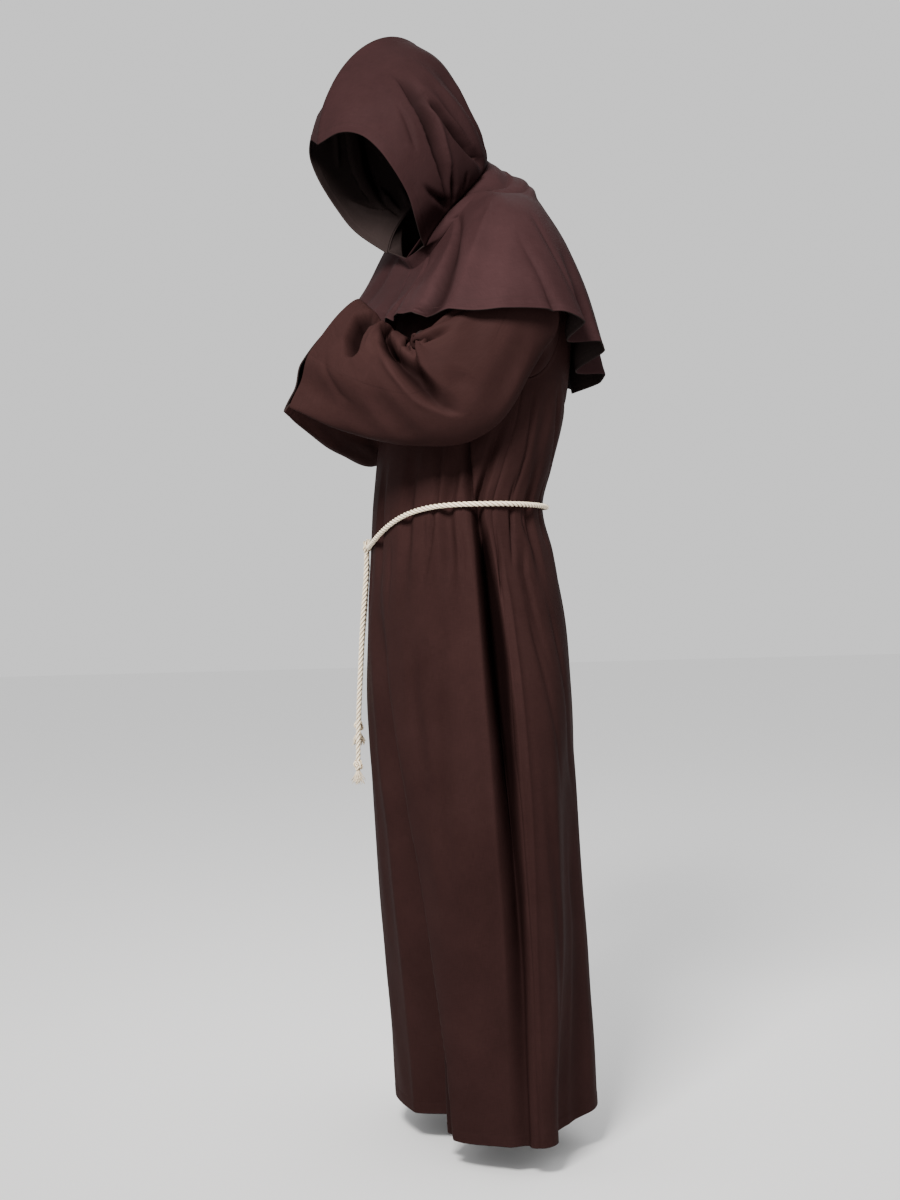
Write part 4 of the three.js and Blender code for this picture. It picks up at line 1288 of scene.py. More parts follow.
@dataclass
class ClothPanel:
    """One cut piece of cloth: a closed wall over a grid of points, with hems and sewn edges."""

    name: str
    points: Array
    # Depth of the fine folds in mm, which the material turns into painted shade.
    fold_depth_for_shade: Array
    goes_round: bool
    finished: tuple[Edge, ...]
    sewn: tuple[Edge, ...]
    hem_depth: float = 17.0
    seam_dip: float = 1.1
    drape: Drape = field(default_factory=Drape)
    edge: EdgeShape = field(default_factory=EdgeShape)

    def _spans(self) -> dict[Edge, Array]:
        """Measure how far each point is from each edge.

        Returns:
            Distances in mm on the cloth, by edge.
        """
        rows, cols = self.points.shape[:2]
        down = np.linalg.norm(np.diff(self.points, axis=0), axis=-1)
        over = np.linalg.norm(np.diff(self.points, axis=1), axis=-1)
        v = np.vstack([np.zeros((1, cols)), np.cumsum(down, axis=0)])
        u = np.hstack([np.zeros((rows, 1)), np.cumsum(over, axis=1)])
        return {
            Edge.FIRST_ROW: v,
            Edge.LAST_ROW: v[-1:] - v,
            Edge.FIRST_COLUMN: u,
            Edge.LAST_COLUMN: u[:, -1:] - u,
        }

    def _along(self, spans: dict[Edge, Array], edge: Edge) -> Array:
        """Distance along an edge of the points by it."""
        return spans[Edge.FIRST_COLUMN if edge in (Edge.FIRST_ROW, Edge.LAST_ROW) else Edge.FIRST_ROW]

    def _relief(self, spans: dict[Edge, Array]) -> Array:
        """Work out how far hems and seams raise or sink the cloth.

        Args:
            spans: distances from the edges.

        Returns:
            Heights in mm.
        """
        shape = self.edge
        total = np.zeros(self.points.shape[:2])
        for edge in self.sewn:
            d = spans[edge]
            swell = shape.swell * bell(d, shape.swell_at, shape.swell_width)
            total += swell - self.seam_dip * bell(d, 0.0, shape.dip_width)
        for edge in self.finished:
            d, along = spans[edge], self._along(spans, edge)
            hem = 1 - smooth(np.clip((d - self.hem_depth + 1) / shape.hem_slope, 0, 1))
            pucker = np.sin(along / shape.pucker_length) * np.sin(along / shape.pucker_group + 1.0)
            pucker = pucker * shape.pucker * bell(d, self.hem_depth, shape.pucker_width)
            sink = shape.row_sink * bell(d, self.hem_depth, shape.row_width)
            total += shape.hem_rise * hem - sink + pucker
        return total

    def _stitching(self, spans: dict[Edge, Array]) -> Array:
        """Work out where the stitched row of a hem lies.

        Args:
            spans: distances from the edges.

        Returns:
            For each point the metres along the hem, the metres from its edge, and 1 if it has one.
        """
        along = np.zeros(self.points.shape[:2])
        away, has = np.full_like(along, self.edge.no_hem), np.zeros_like(along)
        for edge in self.finished:
            near = spans[edge] < away
            along = np.where(near, self._along(spans, edge), along)
            away = np.where(near, spans[edge], away)
            has[:] = 1.0
        return np.stack([along * MM, away * MM, has], axis=-1)

    def build(self, outside: bpy.types.Material, inside: bpy.types.Material) -> bpy.types.Object:
        """Make the panel's object.

        Args:
            outside: material of the outer face.
            inside: material of the inner face and the edges.

        Returns:
            The object.
        """
        spans = self._spans()
        normal = normals_of(self.points, self.goes_round)
        free = np.minimum.reduce([spans[edge] for edge in self.sewn])
        calm = smooth(np.clip(free / self.edge.calm_width, 0, 1))
        lift = self._relief(spans) + self.drape.offset(self.points) * calm
        outer = self.points + normal * lift[..., None]
        inner = outer - normals_of(outer, self.goes_round) * CLOTH_THICKNESS
        rows, cols = outer.shape[:2]
        count = rows * cols
        front = grid_quads(rows, cols, self.goes_round)
        back = front[:, [0, 3, 2, 1]] + count
        row, column = np.arange(cols), np.arange(rows) * cols
        rims = [self._rim(row, count, self.goes_round)]
        rims.append(self._rim((rows - 1) * cols + row, count, self.goes_round)[:, ::-1])
        if not self.goes_round:
            rims.append(self._rim(column, count, False)[:, ::-1])
            rims.append(self._rim(column + cols - 1, count, False))
        faces = np.vstack([front, back, *rims])
        if self._inside_out(outer, front):
            faces = faces[:, ::-1]
        slots = np.ones(len(faces), dtype=int)
        slots[: len(front)] = 0
        u, v = spans[Edge.FIRST_COLUMN], spans[Edge.FIRST_ROW]
        level = np.zeros_like(u)
        cloth_at = np.stack([u - u[:, cols // 2][:, None], v, level], axis=-1) * MM
        # The fine folds' depth, for the painted shade in the material.
        fold_shade_depth = np.stack([self.fold_depth_for_shade * MM, level, level], axis=-1)
        attributes = {
            "cloth_at": doubled(cloth_at),
            "stitch_at": doubled(self._stitching(spans)),
            "fold_shade_depth": doubled(fold_shade_depth),
        }
        points = np.vstack([outer.reshape(-1, 3), inner.reshape(-1, 3)])
        return mesh_object(self.name, points, faces, (outside, inside), slots, attributes)

    def _rim(self, edge: Array, behind: int, goes_round: bool) -> Array:
        """Close an edge between the two faces.

        Args:
            edge: vertex numbers of the outer face's edge.
            behind: step from a vertex to the one behind it.
            goes_round: whether the edge meets itself.

        Returns:
            Quads.
        """
        nxt = np.roll(edge, -1)
        if not goes_round:
            edge, nxt = edge[:-1], nxt[:-1]
        return np.stack([edge, edge + behind, nxt + behind, nxt], axis=-1)

    def _inside_out(self, outer: Array, front: Array) -> bool:
        """Find out whether the outer face's quads look inward.

        Args:
            outer: the outer face's points.
            front: its quads.

        Returns:
            Whether they do.
        """
        flat = outer.reshape(-1, 3)
        a, b, c = (flat[front[:, k]] for k in range(3))
        facing = np.cross(b - a, c - b)
        return float(np.sum(facing * (a - flat.mean(axis=0)))) < 0


def doubled(vectors: Array) -> Array:
    """Rows of three for the points of the outer face and again for the inner face."""
    return np.vstack([vectors.reshape(-1, 3)] * 2)


def pushed(points: Array, depth: Array, goes_round: bool) -> Array:
    """Push a grid in by its folds along its own normals."""
    return points - normals_of(points, goes_round) * depth[..., None]


# Sub-assemblies


@dataclass
class Robe:
    """Ankle-length robe: a front and a back panel with set-in armholes."""

    outside: bpy.types.Material
    inside: bpy.types.Material
    form: RobeForm = field(default_factory=RobeForm)
    columns: int = 196
    hole_rows: int = 45
    row_marks: tuple[float, ...] = (HEM_HEIGHT + 24, 880.0, 1060.0, 1543.0, 1555.0)
    edges: dict[str, Array] = field(default_factory=dict)

    def levels(self) -> Array:
        """Levels of the rows, closer at the hem, the girdle and the armhole's ends.

        Returns:
            The levels from the hem to the neck.
        """
        middle, half = self.form.armhole_middle, self.form.armhole_half_height
        hole = middle - half * np.cos(np.linspace(0, math.pi, self.hole_rows))
        hem, girdle, chest, collar, neck = self.row_marks
        below = runs(
            (HEM_HEIGHT, hem, 12), (hem, girdle, 92), (girdle, chest, 38), (chest, middle - half, 20)
        )
        above = runs((float(hole[-1]), collar, 16), (collar, neck, 5))
        return np.concatenate([below[:-1], hole[:-1], above])

    def shares(self) -> Array:
        """Shares across a panel, closer at the side seams."""
        half = ((0, 0.014, 7), (0.014, 0.1, 28))
        return runs(*half, (0.1, 0.9, self.columns - 70), (0.9, 0.986, 28), (0.986, 1, 7))

    def panel(self, name: str, start: float, end: float) -> bpy.types.Object:
        """Build one panel.

        Args:
            name: the CAD node that it stands for.
            start: degrees of its first column.
            end: degrees of its last column.

        Returns:
            The piece.
        """
        level = self.levels()[:, None]
        over = np.degrees(SEAM_LAP / self.form.deep(level))
        reach = self.form.armhole_reach(level) - over
        at = mix(start + reach, end - reach, self.shares()[None, :])
        up = level + 0 * at
        fine = self.form.fine.depth(at, up)
        depth = self.form.folds.depth(at, up) + fine
        facing = facing_of(self.form.base, at, up, STEP_HEIGHT)
        points = self.form.base(at, up) - facing * depth[..., None]
        sides = (Edge.FIRST_COLUMN, Edge.LAST_COLUMN, Edge.LAST_ROW)
        cloth = ClothPanel(name + "_cloth", points, fine, False, (Edge.FIRST_ROW,), sides)
        self.edges[name + "_first"] = points[:, 0]
        self.edges[name + "_last"] = points[:, -1]
        piece = cloth.build(self.outside, self.inside)
        return fitted(piece, CLOTH_SLOT, name)

    def hole(self, side: Side, at: Array) -> Array:
        """Points of an armhole's outline, for the top row of a sleeve.

        Args:
            side: which armhole.
            at: degrees round the sleeve, 0 at the top, 90 at the front.

        Returns:
            A point for each of at.
        """
        levels = self.levels()
        shrink = 1 - SEAM_GAP / self.form.armhole_half_height
        reach = self.form.armhole_half_height * shrink
        level = self.form.armhole_middle + reach * np.cos(np.radians(at))
        left = side is Side.LEFT
        fore = self.edges["robe_front_last" if left else "robe_front_first"]
        rear = self.edges["robe_back_first" if left else "robe_back_last"]
        ahead, behind = interpolated(level, levels, fore), interpolated(level, levels, rear)
        front = (np.sin(np.radians(at)) > 0)[:, None]
        points = np.where(front, ahead, behind)
        points[:, 0] += side.value * SEAM_GAP
        return points

    def build(self) -> list[bpy.types.Object]:
        """Returns:
            The front and the back panel.
        """
        front = self.panel("robe_front", -180, 0)
        back = self.panel("robe_back", 0, 180)
        return [front, back]


@dataclass
class Sleeves:
    """Two wide sleeves that run from the armholes to the joined cuffs."""

    outside: bpy.types.Material
    inside: bpy.types.Material
    robe: Robe
    rows: int = 190
    columns: int = 168
    far_share: float = 0.7

    def build(self) -> list[bpy.types.Object]:
        """Returns:
            The left sleeve, and the right one on a coarser grid.
        """
        made = []
        sleeves = (("sleeve_left", LEFT_SLEEVE, 1.0), ("sleeve_right", RIGHT_SLEEVE, self.far_share))
        for name, form, share in sleeves:
            at = np.linspace(0, 360, round(self.columns * share) + 1)[:-1]
            rows = round((self.rows - 16) * share)
            along = runs((0, 0.012, 4), (0.012, 0.96, rows), (0.96, 1, 12))[:, None]
            hole = self.robe.hole(form.side, at)
            grid = np.broadcast_to(at[None, :], (len(along), len(at)))
            points = form.base(hole, grid, along + 0 * grid)
            fine = form.fine.depth(grid, along)
            points = pushed(points, form.folds.depth(grid, along) + fine, True)
            ends = (Edge.LAST_ROW,), (Edge.FIRST_ROW,)
            cloth = ClothPanel(name + "_cloth", points, fine, True, *ends)
            piece = fitted(cloth.build(self.outside, self.inside), CLOTH_SLOT, name)
            made.append(piece)
        return made


@dataclass
class Cape:
    """Shoulder cape in two halves that meet at the front and the back."""

    outside: bpy.types.Material
    inside: bpy.types.Material
    form: CapeForm = field(default_factory=CapeForm)
    columns: int = 170
    hem_depth: float = 10.0
    seam_dip: float = 0.4
    neck_calm: float = 0.05
    least_fold: float = 0.3

    def build(self) -> list[bpy.types.Object]:
        """Returns:
            The left and the right half.
        """
        first = self.form.first_level()
        level = runs((1, 0.93, 12), (0.93, first, 72), (first, 0.02, 12), (0.02, 0, 4))[:, None]
        spread = runs((0, 0.014, 4), (0.014, 0.42, 48), (0.42, 0.986, self.columns - 56), (0.986, 1, 4))
        made = []
        for side, name in ((Side.LEFT, "cape_left"), (Side.RIGHT, "cape_right")):
            wide = self.form.rings.curve("half", np.maximum(level, first))
            over = np.degrees(SEAM_LAP / wide)
            left = mix(-90 - over, 90 + over, spread[None, :])
            at = left if side is Side.LEFT else 180 - left
            up = level + 0 * at
            surface = partial(self.form.base, side)
            calm = smooth(np.clip(up / self.neck_calm, self.least_fold, 1))
            fine = self.form.fine.depth(at, up) * calm
            depth = self.form.folds.depth(at, up) + fine
            points = surface(at, up) - facing_of(surface, at, up, STEP_SHARE) * depth[..., None]
            seams = (Edge.LAST_ROW, Edge.FIRST_COLUMN, Edge.LAST_COLUMN)
            cloth = ClothPanel(
                name + "_cloth", points, fine, False, (Edge.FIRST_ROW,), seams,
                hem_depth=self.hem_depth, seam_dip=self.seam_dip,
            )
            piece = fitted(cloth.build(self.outside, self.inside), CLOTH_SLOT, name)
            made.append(piece)
        return made


@dataclass
class Hood:
    """Pointed hood in two halves, open at the face."""

    outside: bpy.types.Material
    inside: bpy.types.Material
    form: HoodForm = field(default_factory=HoodForm)
    rows: int = 118
    columns: int = 128
    hem_depth: float = 12.0
    seam_dip: float = 0.4
    neck_calm: float = 0.04
    crown_calm: float = 0.05

    def build(self) -> list[bpy.types.Object]:
        """Returns:
            The left and the right half.
        """
        level = runs((0, 0.012, 4), (0.012, 0.98, self.rows - 10), (0.98, 1, 6))[:, None]
        share = runs((0, 0.06, 12), (0.06, 0.98, self.columns - 18), (0.98, 1, 6))[None, :]
        made = []
        for side, name in ((Side.LEFT, "hood_left"), (Side.RIGHT, "hood_right")):
            at, up = np.broadcast_arrays(share, level)
            points = self.form.base(side, at, up)
            calm = smooth(np.clip(up / self.neck_calm, 0, 1))
            calm = calm * smooth(np.clip((1 - at) / self.crown_calm, 0, 1))
            fine = self.form.fine.depth(at, up) * calm
            points = pushed(points, self.form.folds.depth(at, up) + fine, False)
            seams = (Edge.FIRST_ROW, Edge.LAST_ROW, Edge.LAST_COLUMN)
            cloth = ClothPanel(
                name + "_cloth", points, fine, False, (Edge.FIRST_COLUMN,), seams,
                hem_depth=self.hem_depth, seam_dip=self.seam_dip,
            )
            piece = fitted(cloth.build(self.outside, self.inside), CLOTH_SLOT, name)
            made.append(piece)
        return made


@dataclass(frozen=True)
class RopeRun:
    """A laid cord along a smooth line."""

    radius: float = 4.0
    strands: int = 3
    lay: float = 24.0
    step: float = 1.3
    sides: int = 8
    strand_share: float = 0.485
    # Painted groove shade: where it starts to fade as a share of the cord's radius, over what share, and
    # its level on a plain tube.
    groove_shade_from: float = 0.68
    groove_shade_width: float = 0.28
    plain_groove_shade: float = 0.72

    def resampled(self, route: Array, closed: bool = False) -> Array:
        """Even points on a smooth curve through a route.

        Args:
            route: points in mm.
            closed: whether the last point joins the first.

        Returns:
            Points one step apart.
        """
        if closed:
            pad = np.vstack([route[-1:], route, route[:2]])
        else:
            pad = np.vstack([2 * route[:1] - route[1:2], route, 2 * route[-1:] - route[-2:-1]])
        share = np.linspace(0, 1, 24, endpoint=False)[:, None]
        parts = []
        for p0, p1, p2, p3 in zip(pad, pad[1:], pad[2:], pad[3:]):
            bend = (2 * p0 - 5 * p1 + 4 * p2 - p3) * share**2
            twist = (3 * p1 - p0 - 3 * p2 + p3) * share**3
            parts.append(0.5 * (2 * p1 + (p2 - p0) * share + bend + twist))
        dense = np.vstack([*parts, route[:1] if closed else route[-1:]])
        run = run_along(dense)
        count = max(4, round(run[-1] / self.step))
        return interpolated(np.linspace(0, run[-1], count + 1), run, dense)

    def frames(self, line: Array) -> tuple[Array, Array]:
        """Two directions square to a line, carried along it without twist.

        Args:
            line: its points.

        Returns:
            The directions at each point, square to each other too.
        """
        tangent = unit(np.gradient(line, axis=0))
        first = np.cross(tangent[0], [0.0, 0.3, 1.0])
        if np.linalg.norm(first) < 0.2:
            first = np.cross(tangent[0], [1.0, 0.0, 0.0])
        first = first / np.linalg.norm(first)
        side = [first]
        for k in range(1, len(line)):
            carried = side[-1] - tangent[k] * np.dot(side[-1], tangent[k])
            side.append(carried / np.linalg.norm(carried))
        across = np.array(side)
        return across, np.cross(tangent, across)

    def tube(self, line: Array, radius: Array, start: float = 0.0) -> tuple[Array, Array, Array]:
        """A round closed tube on a line.

        Args:
            line: its middle.
            radius: its radius at each point.
            start: length along the strand at its first point.

        Returns:
            Points, quads and strand coordinates.
        """
        across, up = self.frames(line)
        turn = np.linspace(0, 2 * math.pi, self.sides, endpoint=False)
        ring = np.cos(turn)[None, :, None] * across[:, None] + np.sin(turn)[None, :, None] * up[:, None]
        points = line[:, None] + ring * radius[:, None, None]
        rows, cols = points.shape[:2]
        ends = []
        for order in (np.arange(cols)[::-1], (rows - 1) * cols + np.arange(cols)):
            for k in range(cols // 2 - 1):
                ends.append([order[k], order[k + 1], order[cols - 2 - k], order[cols - 1 - k]])
        faces = np.vstack([grid_quads(rows, cols, True), np.array(ends)])
        run = start + run_along(line)
        # The strand's third number is the level of painted groove shade, even on a plain tube.
        strand = stacked(run[:, None] * MM, (turn / (2 * math.pi))[None, :], self.plain_groove_shade)
        return points.reshape(-1, 3), faces, strand.reshape(-1, 3)

    def cord(self, line: Array, radius: float | None = None) -> tuple[Array, Array, Array]:
        """The strands of a laid cord on a line.

        Args:
            line: the cord's middle, as even points.
            radius: the cord's radius, or None for the usual one.

        Returns:
            Points, quads and strand coordinates.
        """
        full = self.radius if radius is None else radius
        across, up = self.frames(line)
        run = run_along(line)
        thick = full * self.strand_share
        parts = []
        for k in range(self.strands):
            angle = 2 * math.pi * (run / self.lay + k / self.strands)
            out = np.cos(angle)[:, None] * across + np.sin(angle)[:, None] * up
            middle = line + (full - thick) * out
            points, faces, strand = self.tube(middle, np.full(len(line), thick), k * 370.0)
            away = np.linalg.norm(points.reshape(len(line), -1, 3) - line[:, None], axis=-1) / full
            # Painted groove shade: each strand is darker where it sinks towards the cord's middle.
            lit = (away.ravel() - self.groove_shade_from) / self.groove_shade_width
            strand[:, 2] = smooth(np.clip(lit, 0, 1))
            parts.append((points, faces, strand))
        return joined(parts)


def joined(parts: Iterable[tuple[Array, Array, Array]]) -> tuple[Array, Array, Array]:
    """Join meshes.

    Args:
        parts: points, quads and strand coordinates of each.

    Returns:
        The same three of them all.
    """
    points, faces, strands, first = [], [], [], 0
    for p, f, s in parts:
        points.append(p)
        faces.append(f + first)
        strands.append(s)
        first += len(p)
    return np.vstack(points), np.vstack(faces), np.vstack(strands)


# Routes of the hanging ends from the knot's middle: mm down, to the wearer's left and back.
END_ROUTES = {
    "left": (
        (14, -2, -1), (22, -2, -1), (36, -3, -1), (60, -4, -2), (100, -5, -5),
        (150, -6, -8), (200, -7, -10), (250, -8, -12), (300, -9, -13), (345, -9, -13),
    ),
    "right": (
        (14, -12, 3), (22, -12, 3), (36, -14, 4), (60, -19, 4), (100, -24, 3),
        (150, -28, 0), (200, -31, -2), (250, -33, -4), (285, -34, -5),
    ),
}
TASSEL_SEEDS = {"left": 5, "right": 9}


@dataclass(frozen=True)
class Fray:
    """The stopper knot and the frayed yarns of a tassel: lengths in mm."""

    knot_drop: float = 6.5
    knot_turns: float = 2.4
    knot_cord: float = 3.1
    facing: tuple[float, float, float] = (0.35, -0.93, 0.0)
    yarns: int = 72
    spread: float = 12.0
    least_share: float = 0.02
    lengths: tuple[float, float] = (19.0, 28.0)
    curls: tuple[float, float] = (0.6, 2.0)
    waves: tuple[float, float] = (1.5, 3.2)
    leans: tuple[float, float] = (0.6, 0.4)
    start_drop: float = 3.5
    radii: tuple[float, float] = (1.05, 0.4)
    thickness: tuple[float, float] = (0.8, 1.15)
    longest_start: float = 900.0


@dataclass
class Girdle:
    """A rope round the waist, knotted at the wearer's right front, with two hanging ends."""

    cotton: bpy.types.Material
    form: RobeForm = field(default_factory=RobeForm)
    rope: RopeRun = field(default_factory=RopeRun)
    stand_off: float = 5.1
    height: float = 1008.0
    dip: float = 73.0
    dip_at: float = -115.0
    dip_degrees: float = 48.5
    back_drop: float = 10.0
    knot_at: float = -121.0
    knot_half_degrees: float = 5.6
    knot_stand_off: float = 8.5
    knot_turns: float = 3.1
    knot_cord: float = 3.5
    tail_cord: float = 3.9
    fray: Fray = field(default_factory=Fray)

    def point(self, at: float, stand_off: float) -> Array:
        """Find a point of the girdle's line.

        Args:
            at: degrees round the robe.
            stand_off: mm that it stands off the cloth.

        Returns:
            The point in mm.
        """
        near = (at - self.dip_at) / self.dip_degrees
        back = self.back_drop * max(0.0, math.sin(math.radians(at))) ** 2
        level = self.height - self.dip * math.exp(-(near**2)) - back
        return self.form.base(at, level) + facing_of(self.form.base, at, level, STEP_HEIGHT) * stand_off

    def knot_middle(self) -> Array:
        """The middle of the knot."""
        return self.point(self.knot_at, self.knot_stand_off)

    def _piece(self, name: str, mesh: tuple[Array, Array, Array], *nodes: str) -> bpy.types.Object:
        """Make a cotton piece that stands for its solids.

        Args:
            name: the piece's name.
            mesh: points, quads and strand coordinates.
            nodes: the solids.

        Returns:
            The piece.
        """
        points, faces, strand = mesh
        made = mesh_object(name, points, faces, (self.cotton,), None, {"strand_at": strand})
        return fitted(made, ROPE_SLOT, *nodes)

    def _whirl(
        self, middle: Array, facing: Array, scale: float, radius: float
    ) -> tuple[Array, Array, Array]:
        """An overhand knot pulled tight, as a cord.

        Args:
            middle: its middle.
            facing: unit vector out of the robe.
            scale: size of its turns.
            radius: the cord's radius in it.

        Returns:
            Points, quads and strand coordinates.
        """
        t = np.linspace(0, 2 * math.pi, 73)[:-1]
        flat = (2 + np.cos(3 * t)) * scale
        right = unit(np.cross([0.0, 0.0, 1.0], facing))
        up = np.cross(facing, right)
        line = (
            middle
            + (flat * np.cos(2 * t))[:, None] * right
            + (flat * np.sin(2 * t))[:, None] * up
            + (np.sin(3 * t) * scale * 1.05)[:, None] * facing
        )
        return self.rope.cord(self.rope.resampled(line, True), radius)

    def tassel(self, side: str, finish: Array) -> bpy.types.Object:
        """A stopper knot with frayed yarns under it.

        Args:
            side: left or right.
            finish: the end of the hanging rope.

        Returns:
            The piece.
        """
        chance = np.random.default_rng(TASSEL_SEEDS[side])
        fray, yarn = self.fray, RopeRun(sides=6, step=2.2)
        heart = finish + np.array([0, 0, -fray.knot_drop])
        facing = np.array(fray.facing)
        facing = facing / np.linalg.norm(facing)
        parts = [self._whirl(heart, facing, fray.knot_turns, fray.knot_cord)]
        share = np.linspace(0, 1, 9)
        for _ in range(fray.yarns):
            angle = chance.uniform(0, 2 * math.pi)
            spread = fray.spread * math.sqrt(chance.uniform(fray.least_share, 1))
            length = chance.uniform(*fray.lengths)
            curl = chance.uniform(*fray.curls)
            lean = spread * (fray.leans[0] * share + fray.leans[1] * share**2)
            wave = np.sin(share * math.pi * chance.uniform(*fray.waves) + curl) * curl * share
            c, s = math.cos(angle), math.sin(angle)
            path = stacked(lean * c - wave * s, lean * s + wave * c, -fray.start_drop - share * length)
            line = yarn.resampled(heart + path)
            taper = mix(*fray.radii, np.linspace(0, 1, len(line)))
            radius = taper * chance.uniform(*fray.thickness)
            parts.append(yarn.tube(line, radius, chance.uniform(0, fray.longest_start)))
        return self._piece(f"tassel_{side}_frayed", joined(parts), f"tassel_{side}")

    def ends(self) -> list[bpy.types.Object]:
        """Returns:
            The left end and its tassel, then the right ones.
        """
        made = []
        for side, route in END_ROUTES.items():
            points = np.array([[left, back, -drop] for drop, left, back in route], dtype=float)
            line = self.rope.resampled(self.knot_middle() + points)
            tassel = self.tassel(side, line[-1])
            name = f"rope_end_{side}"
            piece = self._piece(name + "_laid", self.rope.cord(line), name)
            made += [piece, tassel]
        return made

    def loop(self) -> bpy.types.Object:
        """Build the rope round the waist, on into the knot at both ends.

        Returns:
            The piece.
        """
        start = self.knot_at + self.knot_half_degrees
        end = self.knot_at + 360 - self.knot_half_degrees
        turns = np.linspace(start, end, 121)
        route = [self.point(a - 360 if a > 180 else a, self.stand_off) for a in turns]
        line = self.rope.resampled(np.array(route))
        return self._piece("belt_loop_laid", self.rope.cord(line), "belt_loop")

    def knot(self) -> bpy.types.Object:
        """Build the knot and the short lengths that run into it.

        Returns:
            The piece.
        """
        middle = self.knot_middle()
        facing = unit(middle - self.point(self.knot_at, 0.0))
        parts = [self._whirl(middle, facing, self.knot_turns, self.knot_cord)]
        for at in (self.knot_at + self.knot_half_degrees, self.knot_at - self.knot_half_degrees):
            end = self.point(at, self.stand_off)
            share = np.linspace(0.015, 0.8, 8)[:, None]
            parts.append(self.rope.cord(self.rope.resampled(mix(end, middle, share)), self.tail_cord))
        for route in END_ROUTES.values():
            drop, left, back = route[0]
            end = middle + np.array([left, back, -drop + 0.3], dtype=float)
            bend = np.array([0.3 * left, 0.3 * back, -0.45 * drop])
            path = np.vstack([middle, middle + bend, mix(middle + bend, end, 0.7), end])
            parts.append(self.rope.cord(self.rope.resampled(path), self.tail_cord))
        return self._piece("belt_knot_tied", joined(parts), "belt_knot")


@dataclass(frozen=True)
class Lamp:
    """A soft square lamp; its place is metres ahead, to the right and up in the camera's view."""

    name: str
    place: tuple[float, float, float]
    size: float
    power: float
    spread: float
    colour: Colour


LAMPS = (
    Lamp("key", (-2.4, -0.7, 1.3), 0.75, 40.0, 74.0, (1.0, 0.975, 0.95)),
    Lamp("back", (2.8, 0.9, 2.0), 1.8, 16.0, 180.0, (0.98, 0.98, 1.0)),
)


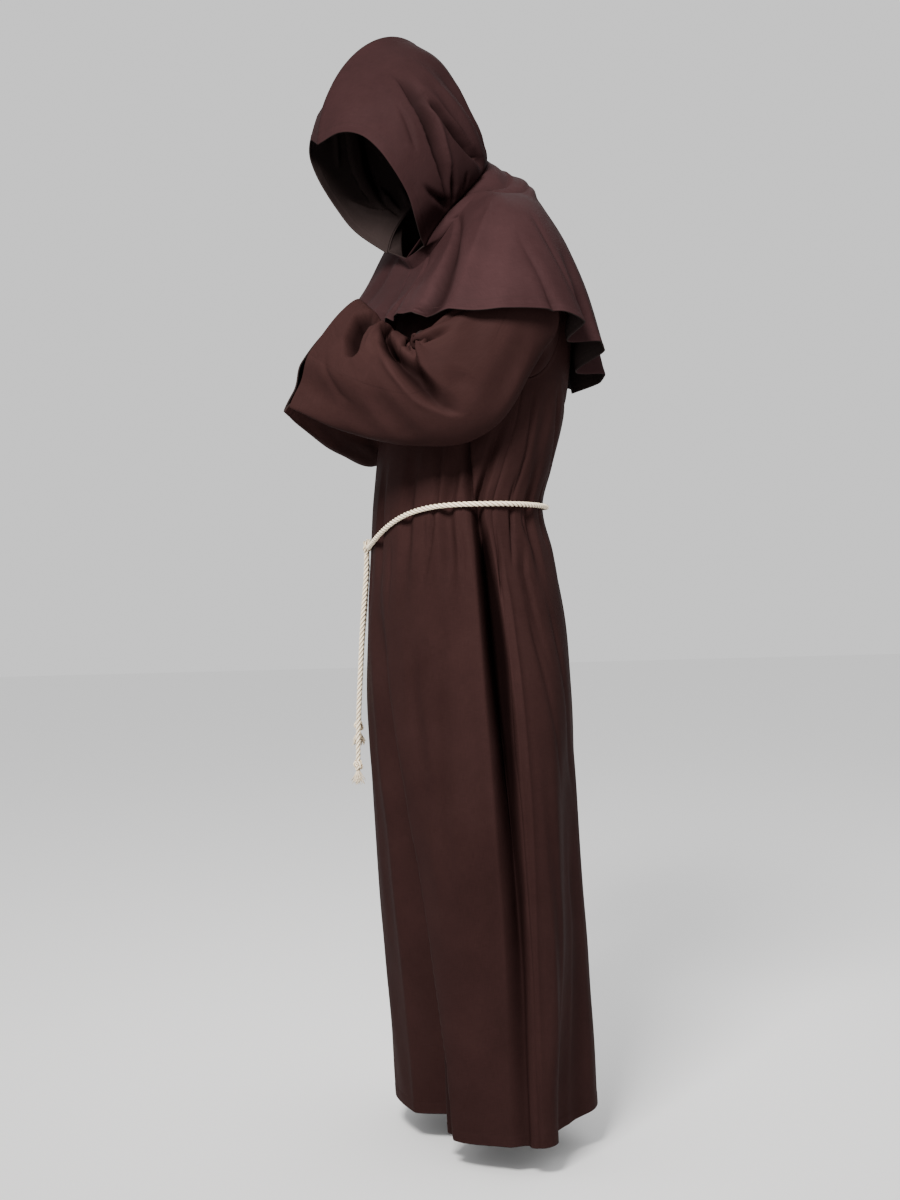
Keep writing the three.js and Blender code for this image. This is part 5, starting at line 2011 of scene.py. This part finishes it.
@dataclass(frozen=True)
class Studio:
    """The photograph's camera, a pale floor and soft studio light."""

    distance: float = 3.8
    eye_height: float = 1.05
    metres_per_pixel: float = 0.00158
    azimuth: float = 18.0
    middle_px: tuple[float, float] = (495.0, 475.0)
    picture_px: tuple[float, float] = (900.0, 1200.0)
    sensor: float = 36.0
    world_light: float = 0.95
    lamps_aim: tuple[float, float, float] = (0, 0, -0.3)
    floor_reach: float = 9e3

    def directions(self) -> tuple[Vector, Vector]:
        """The camera's forward and right, both level."""
        a = math.radians(self.azimuth)
        return Vector((-math.cos(a), math.sin(a), 0)), Vector((math.sin(a), math.cos(a), 0))

    def camera(self) -> bpy.types.Object:
        """Make the camera at the photograph's angle.

        Returns:
            The camera.
        """
        ahead, right = self.directions()
        focal = self.distance / self.metres_per_pixel
        data = bpy.data.cameras.new("photo_camera")
        data.sensor_fit = "VERTICAL"
        data.sensor_height = self.sensor
        data.lens = focal / self.picture_px[1] * self.sensor
        data.clip_end = 100.0
        made = bpy.data.objects.new("photo_camera", data)
        aside = right * (self.picture_px[0] / 2 - self.middle_px[0]) * self.metres_per_pixel
        raised = Vector((0, 0, self.eye_height - SHOULDER_HEIGHT * MM))
        made.location = ahead * -self.distance + aside + raised
        pitch = math.atan((self.picture_px[1] / 2 - self.middle_px[1]) / focal)
        made.rotation_euler = (math.radians(90) - pitch, 0, math.atan2(-ahead.x, ahead.y))
        bpy.context.scene.collection.objects.link(made)
        bpy.context.scene.camera = made
        return made

    def light(self, lamp: Lamp) -> None:
        """Add one lamp that faces the costume.

        Args:
            lamp: its size in metres, its power in watts and its spread in degrees.
        """
        ahead, right = self.directions()
        place = ahead * lamp.place[0] + right * lamp.place[1] + Vector((0, 0, lamp.place[2]))
        data = bpy.data.lights.new(lamp.name, "AREA")
        data.shape = "SQUARE"
        data.size = lamp.size
        data.energy = lamp.power
        data.color = lamp.colour
        data.spread = math.radians(lamp.spread)
        made = bpy.data.objects.new(lamp.name, data)
        made.location = place
        made.rotation_euler = (Vector(self.lamps_aim) - place).to_track_quat("-Z", "Y").to_euler()
        bpy.context.scene.collection.objects.link(made)

    def surroundings(self) -> None:
        """Make the floor, the world and the lamps."""
        corners = np.array([[-1, -1], [1, -1], [1, 1], [-1, 1]]) * self.floor_reach
        points = stacked(corners[:, 0], corners[:, 1], -SHOULDER_HEIGHT)
        floor = mesh_object("floor", points, np.array([[0, 1, 2, 3]]), (StudioFloor().material(),))
        world = bpy.data.worlds.new("studio")
        world.use_nodes = True
        background = world.node_tree.nodes["Background"]
        background.inputs[0].default_value = (1.0, 1.0, 1.0, 1.0)
        background.inputs[1].default_value = self.world_light
        bpy.context.scene.world = world
        for lamp in LAMPS:
            self.light(lamp)


def main() -> None:
    """Build the camera, the cords and then every piece of the habit."""
    logging.basicConfig(level=logging.INFO, format="%(name)s: %(message)s")
    studio = Studio()
    studio.camera()
    girdle = Girdle(RopeCotton("girdle_cotton").material())
    pieces = girdle.ends()
    pieces += [girdle.loop(), girdle.knot()]
    outside = HabitCloth(
        "habit_outside", (0.013, 0.0058, 0.0054), (0.034, 0.0157, 0.0147), (0.023, 0.0115, 0.0105)
    ).material()
    # The cape's copy of the cloth is painted lighter, as painted light on the shoulders, and the hood's
    # copy darker, as painted shade.
    shoulders_painted_lighter = HabitCloth(
        "habit_shoulders_painted_light", (0.0152, 0.007, 0.0073), (0.039, 0.0186, 0.0195), (0.026, 0.0135, 0.0135)
    ).material()
    crown = HabitCloth(
        "habit_hood_painted_shade", (0.0122, 0.0056, 0.0057), (0.031, 0.0148, 0.0153), (0.021, 0.011, 0.011)
    ).material()
    inside = HabitCloth(
        "habit_inside", (0.0125, 0.0085, 0.008), (0.03, 0.0215, 0.0205), (0.026, 0.019, 0.018), 0.72
    ).material()
    robe = Robe(outside, inside)
    pieces += robe.build()
    pieces += Sleeves(outside, inside, robe).build()
    pieces += Cape(shoulders_painted_lighter, inside).build()
    pieces += Hood(crown, inside).build()
    studio.surroundings()
    LOG.info("%d pieces", len(pieces))


if __name__ == "__main__":
    main()
